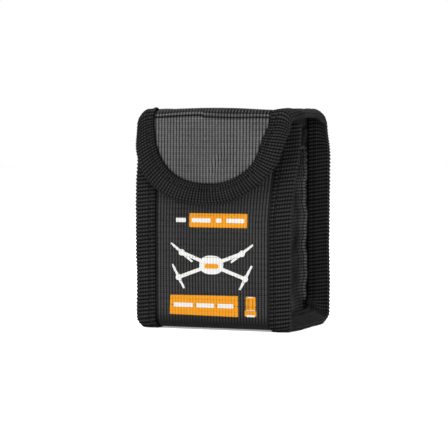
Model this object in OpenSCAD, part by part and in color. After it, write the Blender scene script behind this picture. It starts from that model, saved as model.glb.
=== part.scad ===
// Battery safe bag: a small upright pouch of coated glass-fibre cloth. Every edge is bound in folded
// webbing tape, and a rounded flap folds over the mouth and closes on a hook-and-loop patch.
// +Z is up, the front faces -Y, and the origin is under the middle of the bag.

/* [Bag] */
// Overall width, over the two bound side edges
bag_w = 78; // [74:1:96]
// Overall depth, from the face of the flap to the back
bag_d = 62; // [54:1:90]
// Overall height with the flap closed
bag_h = 104; // [102:1:108]

/* [Cloth] */
// Thickness of the coated glass-fibre cloth
cloth_t = 0.8; // [0.6:0.1:1]
// Thickness of the inner lining
lining_t = 0.5; // [0.4:0.1:0.6]

/* [Binding tape] */
// Width of tape that shows on each face of an edge
tape_w = 10.4; // [9:0.2:11]
// Thickness of the tape
tape_t = 0.7; // [0.6:0.1:0.8]
// Distance of the seam from the free edge of the tape
seam_inset = 2.8; // [2:0.1:4]

/* [Pouch] */
// How far the flap stands in front of the lower front
flap_stand_off = 2; // [1.6:0.1:3]
// Radius of the two folds along the base
base_fold_r = 5; // [4:0.5:8]
// Height of the front panel's top edge
mouth_h = 97; // [95:0.5:98]
// How far the front leans back at the mouth
lean = 3.8; // [3.4:0.1:5]
// Height at which the front starts to lean
lean_start = 48; // [44:1:52]
// Half the width between the two side gussets
gusset_x = 29.2; // [28:0.1:30]
// Height of the gussets
gusset_h = 94.5; // [92:0.5:95]

/* [Flap] */
// Radius of the fold at the back of the top
back_fold_r = 4.4; // [3.5:0.1:6]
// Radius of the fold at the front of the top
front_fold_r = 3.6; // [3:0.1:4]
// Depth of the flap's rounded tongue below the front fold
flap_drop = 39.2; // [36:0.2:42]
// Squareness of the tongue's outer edge, where 2 is an ellipse
tongue_outer_power = 2.4; // [2:0.1:2.6]
// Squareness of the inner edge of the tongue's tape
tongue_inner_power = 2; // [2:0.1:2.4]

/* [Closure] */
// Width of the hook-and-loop patches
patch_w = 25; // [18:1:26]
// Height of the patches
patch_h = 12.5; // [10:0.5:13]
// Height of the lower edge of the patches
patch_z = 73.5; // [73:0.5:75]
// Thickness of each patch with its pile
patch_t = 1.2; // [1:0.1:1.2]

/* [Hidden] */

cloth_black = [0.13, 0.13, 0.13];
cloth_grey = [0.30, 0.30, 0.30];
lining_grey = [0.20, 0.20, 0.21];
tape_black = [0.06, 0.06, 0.06];
thread_black = [0.03, 0.03, 0.03];
pile_black = [0.04, 0.04, 0.045];
ink_orange = [0.95, 0.55, 0.05];
ink_white = [0.93, 0.93, 0.92];

// Outer faces of the cloth
edge_x = bag_w / 2 - tape_t;
front_y = -bag_d / 2 + flap_stand_off + tape_t;
back_y = bag_d / 2 - tape_t;
flap_y = -bag_d / 2 + tape_t;
base_z = tape_t;
top_z = bag_h - tape_t;

// Layers of a bound edge, counted inwards from the outer face of the cloth
side_stack = 2 * cloth_t;
flap_stack = cloth_t + lining_t;
tape_x = bag_w / 2 - tape_w;
body_gap = 0.4;
back_top = top_z - back_fold_r - body_gap;
flap_top = top_z - front_fold_r - body_gap;
arc_steps = 6;
tongue_steps = 48;

// Stitches lie in a shallow groove in the tape
groove_w = 0.7;
groove_depth = 0.35;
stitch_len = 2.2;
stitch_pitch = 3.4;
stitch_w = 0.6;
stitch_t = 0.25;
stitch_lift = 0.03;
seam_x = tape_x + seam_inset;

ink_t = 0.12;
hem_h = 7;
hem_t = 0.6;
border_w = 1.8;
border_t = 0.5;

// ---------- outlines in the YZ plane, as lists of [y, z] ----------

function ease(t) = t * t * (3 - 2 * t);
function reverse(list) = [for (i = [len(list) - 1:-1:0]) list[i]];
function arc(y, z, r, from, to) =
    [for (i = [0:arc_steps]) let (a = from + (to - from) * i / arc_steps) [y + r * cos(a), z + r * sin(a)]];

// The front face as a table of [height, y], upright at first and then leaning back
lean_steps = 10;
front_table = concat(
    [[base_z + base_fold_r, front_y]],
    [for (i = [0:lean_steps]) let (t = i / lean_steps)
        [lean_start + t * (mouth_h - lean_start), front_y + lean * ease(t)]]
);
function front_face(z) = lookup(z, front_table);

// Part of the front face from z0 up to z1, moved into the bag by inset
function front_line(inset, z0, z1) = concat(
    [[front_face(z0) + inset, z0]],
    [for (p = front_table) if (p[0] > z0 && p[0] < z1) [p[1] + inset, p[0]]],
    [[front_face(z1) + inset, z1]]
);
function base_line(inset) = concat(
    arc(front_y + base_fold_r, base_z + base_fold_r, base_fold_r - inset, 180, 270),
    arc(back_y - base_fold_r, base_z + base_fold_r, base_fold_r - inset, 270, 360)
);
// The whole strip: down the front, along the base and up the back
function strip_line(inset, front_top, back_end) = concat(
    reverse(front_line(inset, base_z + base_fold_r + 0.01, front_top)),
    base_line(inset),
    [[back_y - inset, back_end]]
);
// The top of the bag, from the back fold to the front fold
function top_line(inset) = concat(
    arc(back_y - back_fold_r, top_z - back_fold_r, back_fold_r - inset, 0, 90),
    arc(flap_y + front_fold_r, top_z - front_fold_r, front_fold_r - inset, 90, 180)
);
function band(outer, inner) = concat(outer, reverse(inner));

// Half a rounded outline that hangs from the front fold, as a list of [x, z]. An edge is its half
// width, its depth and its power.
function signed_power(v, p) = sign(v) * pow(abs(v), p);
function tongue_point(edge, t) =
    [edge[0] * signed_power(cos(t), 2 / edge[2]), flap_top - edge[1] * pow(sin(t), 2 / edge[2])];
function tongue(edge) = [for (i = [0:tongue_steps]) tongue_point(edge, 180 * i / tongue_steps)];

// ---------- shared shapes ----------

module along_x(x0, x1, outline) {
    translate([x0, 0, 0]) rotate([90, 0, 90]) linear_extrude(height = x1 - x0) polygon(outline);
}

module along_y(y0, y1) {
    translate([0, y1, 0]) rotate([90, 0, 0]) linear_extrude(height = y1 - y0) children();
}

// A folded tape seen end on: a grooved outer leg, a web round the edge and an inner leg
module folded_tape(outer, groove, face, stack, inner, inner_x) {
    along_x(tape_x, seam_x - groove_w / 2, band(outer, face));
    along_x(seam_x - groove_w / 2, seam_x + groove_w / 2, band(groove, face));
    along_x(seam_x + groove_w / 2, bag_w / 2, band(outer, face));
    along_x(edge_x, bag_w / 2, band(outer, inner));
    along_x(inner_x, bag_w / 2, band(stack, inner));
}

// ---------- the pouch ----------

module front_panel() {
    color(cloth_black)
        along_x(-edge_x, edge_x, band(front_line(0, base_z + base_fold_r, mouth_h),
                                      front_line(cloth_t, base_z + base_fold_r, mouth_h)));
}

module base_panel() {
    slab_x = tape_x - 0.3;
    slab_d = bag_d - flap_stand_off - 2 * (tape_t + base_fold_r);
    color(cloth_black) {
        along_x(-edge_x, edge_x, band(base_line(0), base_line(cloth_t)));
        // The middle of the base sags on to the ground between the tapes
        translate([-slab_x, front_y + base_fold_r, 0]) cube([2 * slab_x, slab_d, base_z + cloth_t]);
    }
}

module back_panel() {
    color(cloth_black)
        translate([-edge_x, back_y - cloth_t, base_z + base_fold_r])
            cube([2 * edge_x, cloth_t, back_top - base_z - base_fold_r]);
}

module gusset() {
    color(cloth_black) {
        along_x(gusset_x, gusset_x + cloth_t, strip_line(cloth_t, gusset_h, gusset_h));
        along_x(gusset_x + cloth_t, edge_x, band(strip_line(cloth_t, gusset_h, gusset_h),
                                                 strip_line(side_stack, gusset_h, gusset_h)));
    }
}

module front_lining() {
    color(lining_grey)
        along_x(lining_t - gusset_x, gusset_x - lining_t,
                band(front_line(cloth_t, base_z + base_fold_r, mouth_h),
                     front_line(flap_stack, base_z + base_fold_r, mouth_h)));
}

module base_lining() {
    color(lining_grey)
        along_x(lining_t - gusset_x, gusset_x - lining_t, band(base_line(cloth_t), base_line(flap_stack)));
}

module back_lining() {
    color(lining_grey)
        translate([lining_t - gusset_x, back_y - flap_stack, base_z + base_fold_r])
            cube([2 * (gusset_x - lining_t), lining_t, back_top - base_z - base_fold_r]);
}

module side_lining() {
    color(lining_grey) along_x(gusset_x - lining_t, gusset_x, strip_line(cloth_t, gusset_h, gusset_h));
}

module edge_tape() {
    color(tape_black)
        folded_tape(strip_line(-tape_t, mouth_h, back_top), strip_line(groove_depth - tape_t, mouth_h, back_top),
                    strip_line(0, mouth_h, back_top), strip_line(side_stack, mouth_h, back_top),
                    strip_line(side_stack + tape_t, mouth_h, back_top), gusset_x + cloth_t);
}

module mouth_tape() {
    low = mouth_h - tape_w;
    reach = tape_x - 0.2;
    inner_reach = gusset_x - lining_t - 0.3;
    color(tape_black) {
        along_x(-reach, reach, band(front_line(-tape_t, low, mouth_h), front_line(0, low, mouth_h)));
        along_x(-inner_reach, inner_reach, band(front_line(flap_stack, low, mouth_h),
                                                front_line(flap_stack + tape_t, low, mouth_h)));
        translate([-inner_reach, front_face(mouth_h) - tape_t, mouth_h])
            cube([2 * inner_reach, flap_stack + 2 * tape_t, tape_t]);
    }
}

// A narrow hem folded over the mouth edge of a gusset and its lining
module gusset_hem() {
    low = gusset_h - hem_h;
    y0 = front_face(gusset_h) + side_stack + tape_t + 0.5;
    y1 = back_y - side_stack - tape_t - 0.5;
    color(tape_black) {
        translate([gusset_x + cloth_t, y0, low]) cube([hem_t, y1 - y0, hem_h + hem_t]);
        translate([gusset_x - lining_t - hem_t, y0, low]) cube([hem_t, y1 - y0, hem_h + hem_t]);
        translate([gusset_x - lining_t - hem_t, y0, gusset_h])
            cube([cloth_t + lining_t + 2 * hem_t, y1 - y0, hem_t]);
    }
}

module loop_patch() {
    color(pile_black) {
        along_x(-patch_w / 2, patch_w / 2, band(front_line(-border_t, patch_z, patch_z + patch_h),
                                                front_line(0, patch_z, patch_z + patch_h)));
        along_x(border_w - patch_w / 2, patch_w / 2 - border_w,
                band(front_line(-patch_t, patch_z + border_w, patch_z + patch_h - border_w),
                     front_line(-border_t, patch_z + border_w, patch_z + patch_h - border_w)));
    }
}

// ---------- prints on the front ----------

label_x0 = -11.5;
label_x1 = 17.7;
label_z0 = 48.6;
label_z1 = 55.2;
label_bars = [[-10.2, -0.6], [2, 4.8], [7.4, 16.4]];
lead_bar = [-18.2, -13.2];
bar_h = 2;
band_x0 = -21.7;
band_x1 = 13.2;
band_z0 = 7;
band_z1 = 16.5;
band_slant = 0.6;
band_bars = [[-19.4, -9.6], [-7.8, 1.2], [3, 10.8]];
drone_z = 31;
arm_w = 1.5;
hub_r = 1.5;
battery_x = 19.4;
battery_w = 4.9;
battery_foot_w = 5.8;
battery_foot_h = 2.4;

module upper_label() {
    color(ink_orange) along_x(label_x0, label_x1, band(front_line(-ink_t, label_z0, label_z1),
                                                       front_line(0, label_z0, label_z1)));
}

// Plain bars where a printed name would stand, and one before the label
module upper_label_marks() {
    low = (label_z0 + label_z1 - bar_h) / 2;
    high = low + bar_h;
    color(ink_white) {
        for (bar = label_bars)
            along_x(bar[0], bar[1], band(front_line(-2 * ink_t, low, high), front_line(-ink_t, low, high)));
        along_x(lead_bar[0], lead_bar[1], band(front_line(-ink_t, low, high), front_line(0, low, high)));
    }
}

function blade(length, width) =
    [for (i = [0:19]) let (t = 18 * i) [length * cos(t), width * sin(t)]];

// A plain quadcopter symbol: a rounded body with four arms, each with a two-blade rotor
module drone_pictogram() {
    hubs = [[15.2, 5.6, 38], [16.8, -6.2, 62]];
    color(ink_white) along_y(front_y - ink_t, front_y) translate([0, drone_z]) {
        difference() {
            polygon(blade(6, 4.6));
            translate([0, -1.6]) circle(r = 1.6, $fn = 32);
        }
        for (side = [-1, 1], hub = hubs) {
            x = side * hub[0];
            angle = atan2(hub[1], x);
            rotate(angle) translate([4, -arm_w / 2]) square([norm([x, hub[1]]) - 4, arm_w]);
            translate([x, hub[1]]) {
                circle(r = hub_r, $fn = 24);
                for (half = [0, 180])
                    rotate(side * hub[2] + half) translate([3.6, 0]) polygon(blade(3.4, 0.8));
            }
        }
    }
}

module lower_label() {
    color(ink_orange) along_y(front_y - ink_t, front_y)
        polygon([[band_x0, band_z0], [band_x1, band_z0], [band_x1, band_z1], [band_x0 + band_slant, band_z1]]);
}

module lower_label_marks() {
    color(ink_white) along_y(front_y - 2 * ink_t, front_y - ink_t)
        for (bar = band_bars)
            translate([bar[0], (band_z0 + band_z1 - bar_h) / 2]) square([bar[1] - bar[0], bar_h]);
}

module battery_symbol() {
    color(ink_orange) along_y(front_y - ink_t, front_y) {
        translate([battery_x - battery_w / 2, band_z0 + battery_foot_h])
            square([battery_w, band_z1 - band_z0 - battery_foot_h]);
        translate([battery_x - battery_foot_w / 2, band_z0]) square([battery_foot_w, battery_foot_h - 0.2]);
    }
}

// ---------- stitching ----------

module front_run(x, low, high, outer) {
    for (z = [low:stitch_pitch:high - stitch_len])
        along_x(x - stitch_w / 2, x + stitch_w / 2,
                band(front_line(outer, z, z + stitch_len), front_line(outer + stitch_t, z, z + stitch_len)));
}

module edge_stitching() {
    outer = groove_depth - tape_t - stitch_lift - stitch_t;
    from = base_z + base_fold_r + 1;
    color(thread_black) {
        front_run(seam_x, from, mouth_h - 1, outer);
        for (y = [front_y + base_fold_r + 1:stitch_pitch:back_y - base_fold_r - stitch_len])
            translate([seam_x - stitch_w / 2, y, base_z + outer]) cube([stitch_w, stitch_len, stitch_t]);
        for (z = [from:stitch_pitch:back_top - stitch_len])
            translate([seam_x - stitch_w / 2, back_y - outer - stitch_t, z])
                cube([stitch_w, stitch_t, stitch_len]);
    }
}

module mouth_stitching() {
    z = mouth_h - tape_w + seam_inset;
    outer = -tape_t - stitch_lift - stitch_t;
    color(thread_black)
        for (x = [2 - tape_x:stitch_pitch:tape_x - 2 - stitch_len])
            along_x(x, x + stitch_len, band(front_line(outer, z, z + stitch_w),
                                            front_line(outer + stitch_t, z, z + stitch_w)));
}

module hem_run() {
    color(thread_black)
        for (y = [front_face(gusset_h) + 5:stitch_pitch:back_y - 5 - stitch_len])
            translate([gusset_x + cloth_t + hem_t + stitch_lift, y, gusset_h - hem_h + 1.5])
                cube([stitch_t, stitch_len, stitch_w]);
}

module gusset_hem_stitching() {
    hem_run();
    mirror([1, 0, 0]) hem_run();
}

module loop_patch_stitching() {
    outer = -border_t - stitch_lift - stitch_t;
    inset = border_w / 2;
    color(thread_black) {
        for (z = [patch_z + inset, patch_z + patch_h - inset], x = [inset - patch_w / 2:stitch_pitch:patch_w / 2 - 2.6])
            along_x(x, x + stitch_len, band(front_line(outer, z - stitch_w / 2, z + stitch_w / 2),
                                            front_line(outer + stitch_t, z - stitch_w / 2, z + stitch_w / 2)));
        for (side = [-1, 1])
            front_run(side * (patch_w / 2 - inset), patch_z + 2.2, patch_z + patch_h - 1.4, outer);
    }
}

// ---------- the top of the flap ----------

module top_panel() {
    color(cloth_black) along_x(-edge_x, edge_x, band(top_line(0), top_line(cloth_t)));
}

module top_lining() {
    color(lining_grey) along_x(-edge_x, edge_x, band(top_line(cloth_t), top_line(flap_stack)));
}

module top_tape() {
    color(tape_black)
        folded_tape(top_line(-tape_t), top_line(groove_depth - tape_t), top_line(0),
                    top_line(flap_stack), top_line(flap_stack + tape_t), tape_x);
}

module top_run() {
    outer = groove_depth - tape_t - stitch_lift - stitch_t;
    color(thread_black)
        for (y = [flap_y + front_fold_r + 1:stitch_pitch:back_y - back_fold_r - stitch_len])
            translate([seam_x - stitch_w / 2, y, top_z - outer - stitch_t])
                cube([stitch_w, stitch_len, stitch_t]);
}

module top_tape_stitching() {
    top_run();
    mirror([1, 0, 0]) top_run();
}

// ---------- the tongue of the flap ----------

// Edges of the tongue, from the outside in: the tape, the cloth inside its fold, the two sides of the
// seam's groove and the inner edge of the tape
seam_drop = flap_drop - tape_w + 1.2 + seam_inset;
seam_power = (tongue_outer_power + 2 * tongue_inner_power) / 3;
outer_edge = [bag_w / 2, flap_drop, tongue_outer_power];
cloth_edge = [edge_x, flap_drop - tape_t, tongue_outer_power];
inner_edge = [tape_x, seam_drop - seam_inset, tongue_inner_power];

function seam_edge(offset) = [seam_x + offset, seam_drop + offset, seam_power];

module tongue_ring(big, small, y0, y1) {
    along_y(y0, y1) polygon(band(tongue(big), tongue(small)));
}

module flap_panel() {
    color(cloth_grey) along_y(flap_y, flap_y + cloth_t) polygon(tongue(cloth_edge));
}

module flap_lining() {
    color(lining_grey) along_y(flap_y + cloth_t, flap_y + flap_stack) polygon(tongue(cloth_edge));
}

module flap_edge_tape() {
    outer = flap_y - tape_t;
    inner = flap_y + flap_stack;
    half = groove_w / 2;
    color(tape_black) {
        tongue_ring(outer_edge, seam_edge(half), outer, flap_y);
        tongue_ring(seam_edge(half), seam_edge(-half), outer + groove_depth, flap_y);
        tongue_ring(seam_edge(-half), inner_edge, outer, flap_y);
        tongue_ring(outer_edge, cloth_edge, outer, inner + tape_t);
        tongue_ring(outer_edge, inner_edge, inner, inner + tape_t);
    }
}

module flap_edge_stitching() {
    y0 = flap_y - tape_t + groove_depth - stitch_lift - stitch_t;
    half = stitch_w / 2;
    stitches = 30;
    first = 6;
    span = 3.6;
    color(thread_black)
        for (i = [0:stitches - 1]) {
            t = first + i * (180 - 2 * first - span) / (stitches - 1);
            along_y(y0, y0 + stitch_t) polygon([
                tongue_point(seam_edge(half), t), tongue_point(seam_edge(half), t + span),
                tongue_point(seam_edge(-half), t + span), tongue_point(seam_edge(-half), t)
            ]);
        }
}

module hook_patch() {
    y0 = flap_y + flap_stack;
    color(pile_black) {
        translate([-patch_w / 2, y0, patch_z]) cube([patch_w, border_t, patch_h]);
        translate([border_w - patch_w / 2, y0, patch_z + border_w])
            cube([patch_w - 2 * border_w, patch_t, patch_h - 2 * border_w]);
    }
}

module hook_patch_stitching() {
    y0 = flap_y + flap_stack + border_t + stitch_lift;
    inset = border_w / 2;
    color(thread_black) {
        for (z = [patch_z + inset, patch_z + patch_h - inset], x = [inset - patch_w / 2:stitch_pitch:patch_w / 2 - 2.6])
            translate([x, y0, z - stitch_w / 2]) cube([stitch_len, stitch_t, stitch_w]);
        for (side = [-1, 1], z = [patch_z + 2.2:stitch_pitch:patch_z + patch_h - 3.6])
            translate([side * (patch_w / 2 - inset) - stitch_w / 2, y0, z]) cube([stitch_w, stitch_t, stitch_len]);
    }
}

// ---------- the nodes ----------

front_panel();
base_panel();
back_panel();
mirror([1, 0, 0]) gusset();  // left_gusset
gusset();  // right_gusset
front_lining();
base_lining();
back_lining();
mirror([1, 0, 0]) side_lining();  // left_lining
side_lining();  // right_lining
mirror([1, 0, 0]) edge_tape();  // left_edge_tape
edge_tape();  // right_edge_tape
mouth_tape();
mirror([1, 0, 0]) gusset_hem();  // left_gusset_hem
gusset_hem();  // right_gusset_hem
loop_patch();
upper_label();
upper_label_marks();
drone_pictogram();
lower_label();
lower_label_marks();
battery_symbol();
mirror([1, 0, 0]) edge_stitching();  // left_edge_stitching
edge_stitching();  // right_edge_stitching
mouth_stitching();
gusset_hem_stitching();
loop_patch_stitching();
top_panel();
top_lining();
mirror([1, 0, 0]) top_tape();  // left_top_tape
top_tape();  // right_top_tape
top_tape_stitching();
flap_panel();
flap_lining();
flap_edge_tape();
flap_edge_stitching();
hook_patch();
hook_patch_stitching();
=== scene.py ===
"""Dresses the battery safe bag: coated ribbed cloth, folded webbing tape, stitching, prints and closure.

Lengths are in millimetres until a mesh is made, and in metres from then on.
"""

import logging
import math
from dataclasses import dataclass, field
from enum import Enum
from typing import Callable, Sequence

import bpy
import numpy as np
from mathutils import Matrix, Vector


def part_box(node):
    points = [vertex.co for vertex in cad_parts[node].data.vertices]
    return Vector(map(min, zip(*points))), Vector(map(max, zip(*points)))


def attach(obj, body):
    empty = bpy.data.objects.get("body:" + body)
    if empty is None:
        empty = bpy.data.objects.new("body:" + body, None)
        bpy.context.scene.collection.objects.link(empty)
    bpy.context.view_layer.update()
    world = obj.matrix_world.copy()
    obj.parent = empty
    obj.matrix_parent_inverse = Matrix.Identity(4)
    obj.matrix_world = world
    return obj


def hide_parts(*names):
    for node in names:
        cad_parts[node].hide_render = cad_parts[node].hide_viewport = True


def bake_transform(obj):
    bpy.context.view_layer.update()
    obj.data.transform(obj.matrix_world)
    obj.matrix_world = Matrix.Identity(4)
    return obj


MM = 0.001
RIB_WAY = "rib_way"
WEFT_WAY = "weft_way"
SEAT = "seat"
# The attribute below scales the ribs' height and, in the material, the crests' painted light.
RELIEF_AND_LIGHT = "relief_and_light"
# The attribute below carries painted light: a factor on the crests' colour that stands in for light and
# shade.
PAINTED_LIGHT = "shade"
RIB_PITCH = 1.5
WEFT_PITCH = 2.85
log = logging.getLogger("battery_bag")
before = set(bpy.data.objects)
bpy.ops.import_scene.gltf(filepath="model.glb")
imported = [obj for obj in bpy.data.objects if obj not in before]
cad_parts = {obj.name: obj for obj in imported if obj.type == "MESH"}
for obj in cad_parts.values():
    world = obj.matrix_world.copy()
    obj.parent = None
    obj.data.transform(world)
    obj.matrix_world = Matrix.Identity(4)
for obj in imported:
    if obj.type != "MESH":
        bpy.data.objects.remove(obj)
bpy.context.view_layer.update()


# ---- sizes and the bag's outline

def smooth(t: np.ndarray) -> np.ndarray:
    """Eases from 0 to 1 as t goes from 0 to 1."""
    t = np.clip(t, 0.0, 1.0)
    return t * t * (3.0 - 2.0 * t)


def bump(t: np.ndarray, centre: float, reach: float) -> np.ndarray:
    """A smooth hump of height 1 at centre that ends reach away on each side."""
    return smooth(1.0 - np.abs(t - centre) / reach)


def mm_box(node: str) -> tuple[Vector, Vector]:
    """A node's lowest and highest corner in the frame, in millimetres."""
    low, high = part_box(node)
    return low / MM, high / MM


def distances(points: np.ndarray) -> np.ndarray:
    """How far along a line of points each of them lies."""
    return np.concatenate([[0.0], np.cumsum(np.linalg.norm(np.diff(points, axis=0), axis=1))])


def show(name: str, data: bpy.types.ID) -> bpy.types.Object:
    """Puts a new object of a mesh, a light or a camera into the scene.

    Args:
        name: the object's name.
        data: what it shows.

    Returns:
        The object, at the origin.
    """
    made = bpy.data.objects.new(name, data)
    bpy.context.scene.collection.objects.link(made)
    return made


class Side(Enum):
    """The two sides of the bag, as the sign of their X."""

    LEFT = -1
    RIGHT = 1


@dataclass(frozen=True)
class Cut:
    """Sizes of the cut and sewn bag, in millimetres, read from the frame."""

    half_width: float
    tape: float
    cloth: float
    lining: float
    tape_width: float
    front_y: float
    back_y: float
    flap_y: float
    base_z: float
    top_z: float
    mouth_z: float
    lean: float
    base_fold: float
    back_fold: float
    front_fold: float
    gusset_x: float
    gusset_top: float
    tongue_top: float
    tongue_tip: float
    seam_inset: float = 2.8
    lean_start: float = 48.0

    @classmethod
    def from_frame(cls) -> "Cut":
        """Reads the sizes from the boxes of the frame's nodes.

        Returns:
            The bag's sizes, in millimetres.
        """
        flap, lining = mm_box("flap_panel"), mm_box("flap_lining")
        front, back, top = mm_box("front_panel"), mm_box("back_panel"), mm_box("top_panel")
        tape, side, ring = mm_box("right_edge_tape"), mm_box("right_lining"), mm_box("flap_edge_tape")
        tape_t = flap[0].y - ring[0].y
        cloth = flap[1].y - flap[0].y
        gap = top[0].z - back[1].z
        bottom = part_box("right_edge_tape")[0].z / MM
        base_z = bottom + tape_t
        return cls(
            half_width=tape[1].x, tape=tape_t, cloth=cloth, lining=lining[1].y - lining[0].y,
            tape_width=tape[1].x - tape[0].x, front_y=front[0].y, back_y=back[1].y, flap_y=flap[0].y,
            base_z=base_z, top_z=top[1].z, mouth_z=front[1].z, lean=front[1].y - front[0].y - cloth,
            base_fold=front[0].z - base_z, back_fold=top[1].z - top[0].z,
            front_fold=top[1].z - flap[1].z - gap, gusset_x=side[1].x, gusset_top=side[1].z,
            tongue_top=ring[1].z, tongue_tip=ring[0].z)

    @property
    def tape_x(self) -> float:
        """Inner edge of the tapes that run up the sides."""
        return self.half_width - self.tape_width


class Profile:
    """The outer face of the closed bag's cloth, as one line in the YZ plane.

    It starts at the mouth of the front, goes down, along the base, up the back, over the top and down the
    tongue. Each stretch starts at a named mark.
    """

    def __init__(self, cut: Cut) -> None:
        """Lays out the line.

        Args:
            cut: the bag's sizes.
        """
        c = cut
        low = c.base_z + c.base_fold
        z = np.linspace(c.mouth_z, low, 200)
        lean = c.lean * smooth((z - c.lean_start) / (c.mouth_z - c.lean_start))
        fold = c.base_fold
        stretches = [
            ("front", np.stack([c.front_y + lean, z], 1)),
            ("front_heel", self._arc(c.front_y + fold, low, fold, 180, 270)),
            ("base", self._line((c.front_y + fold, c.base_z), (c.back_y - fold, c.base_z))),
            ("back_heel", self._arc(c.back_y - fold, low, fold, 270, 360)),
            ("back", self._line((c.back_y, low), (c.back_y, c.top_z - c.back_fold))),
            ("back_fold", self._arc(c.back_y - c.back_fold, c.top_z - c.back_fold, c.back_fold, 0, 90)),
            ("top", self._line((c.back_y - c.back_fold, c.top_z), (c.flap_y + c.front_fold, c.top_z))),
            ("front_fold", self._arc(c.flap_y + c.front_fold, c.top_z - c.front_fold, c.front_fold, 90, 180)),
            ("tongue", self._line((c.flap_y, c.top_z - c.front_fold), (c.flap_y, c.tongue_tip + c.tape))),
        ]
        points, starts, count = [], {}, 0
        for name, run in stretches:
            starts[name] = count
            points.append(run[:-1])
            count += len(run) - 1
        points.append(stretches[-1][1][-1:])
        line = np.concatenate(points)
        self.s = distances(line)
        self.y, self.z = line[:, 0], line[:, 1]
        ty, tz = np.gradient(self.y, self.s), np.gradient(self.z, self.s)
        size = np.hypot(ty, tz)
        self.ny, self.nz = tz / size, -ty / size
        self.mark = {name: float(self.s[i]) for name, i in starts.items()}
        self.mark["tip"] = float(self.s[-1])
        self.top_middle = (self.mark["top"] + self.mark["front_fold"]) / 2

    @staticmethod
    def _arc(y: float, z: float, radius: float, start: float, end: float) -> np.ndarray:
        """Points round a fold, between two angles in degrees."""
        t = np.radians(np.linspace(start, end, 24))
        return np.stack([y + radius * np.cos(t), z + radius * np.sin(t)], 1)

    @staticmethod
    def _line(start: tuple[float, float], end: tuple[float, float]) -> np.ndarray:
        """Points along a straight stretch."""
        return np.linspace(start, end, max(2, int(math.dist(start, end) / 0.5)))

    def place(self, x: np.ndarray, s: np.ndarray, lift: float | np.ndarray = 0.0) -> np.ndarray:
        """Points on the bag.

        Args:
            x: how far across, in millimetres.
            s: how far along the line.
            lift: how far outwards from the outer face of the cloth.

        Returns:
            An array of points, with x, y and z last.
        """
        x, s, lift = np.broadcast_arrays(x, s, lift)
        y, z = np.interp(s, self.s, self.y), np.interp(s, self.s, self.z)
        ny, nz = self.normal(s)
        return np.stack([x, y + ny * lift, z + nz * lift], -1)

    def normal(self, s: np.ndarray) -> tuple[np.ndarray, np.ndarray]:
        """The outward direction in the YZ plane at s.

        Args:
            s: stations on the line.

        Returns:
            Its y and its z at each station.
        """
        ny, nz = np.interp(s, self.s, self.ny), np.interp(s, self.s, self.nz)
        size = np.hypot(ny, nz)
        return ny / size, nz / size

    def front_station(self, z: float | np.ndarray) -> np.ndarray:
        """How far along the line the front face reaches height z."""
        last = int(np.searchsorted(self.s, self.mark["front_heel"]))
        return np.interp(-np.asarray(z, float), -self.z[:last], self.s[:last])

    def front_face(self, z: np.ndarray) -> np.ndarray:
        """The Y of the front face at height z."""
        return np.interp(self.front_station(z), self.s, self.y)


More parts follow.
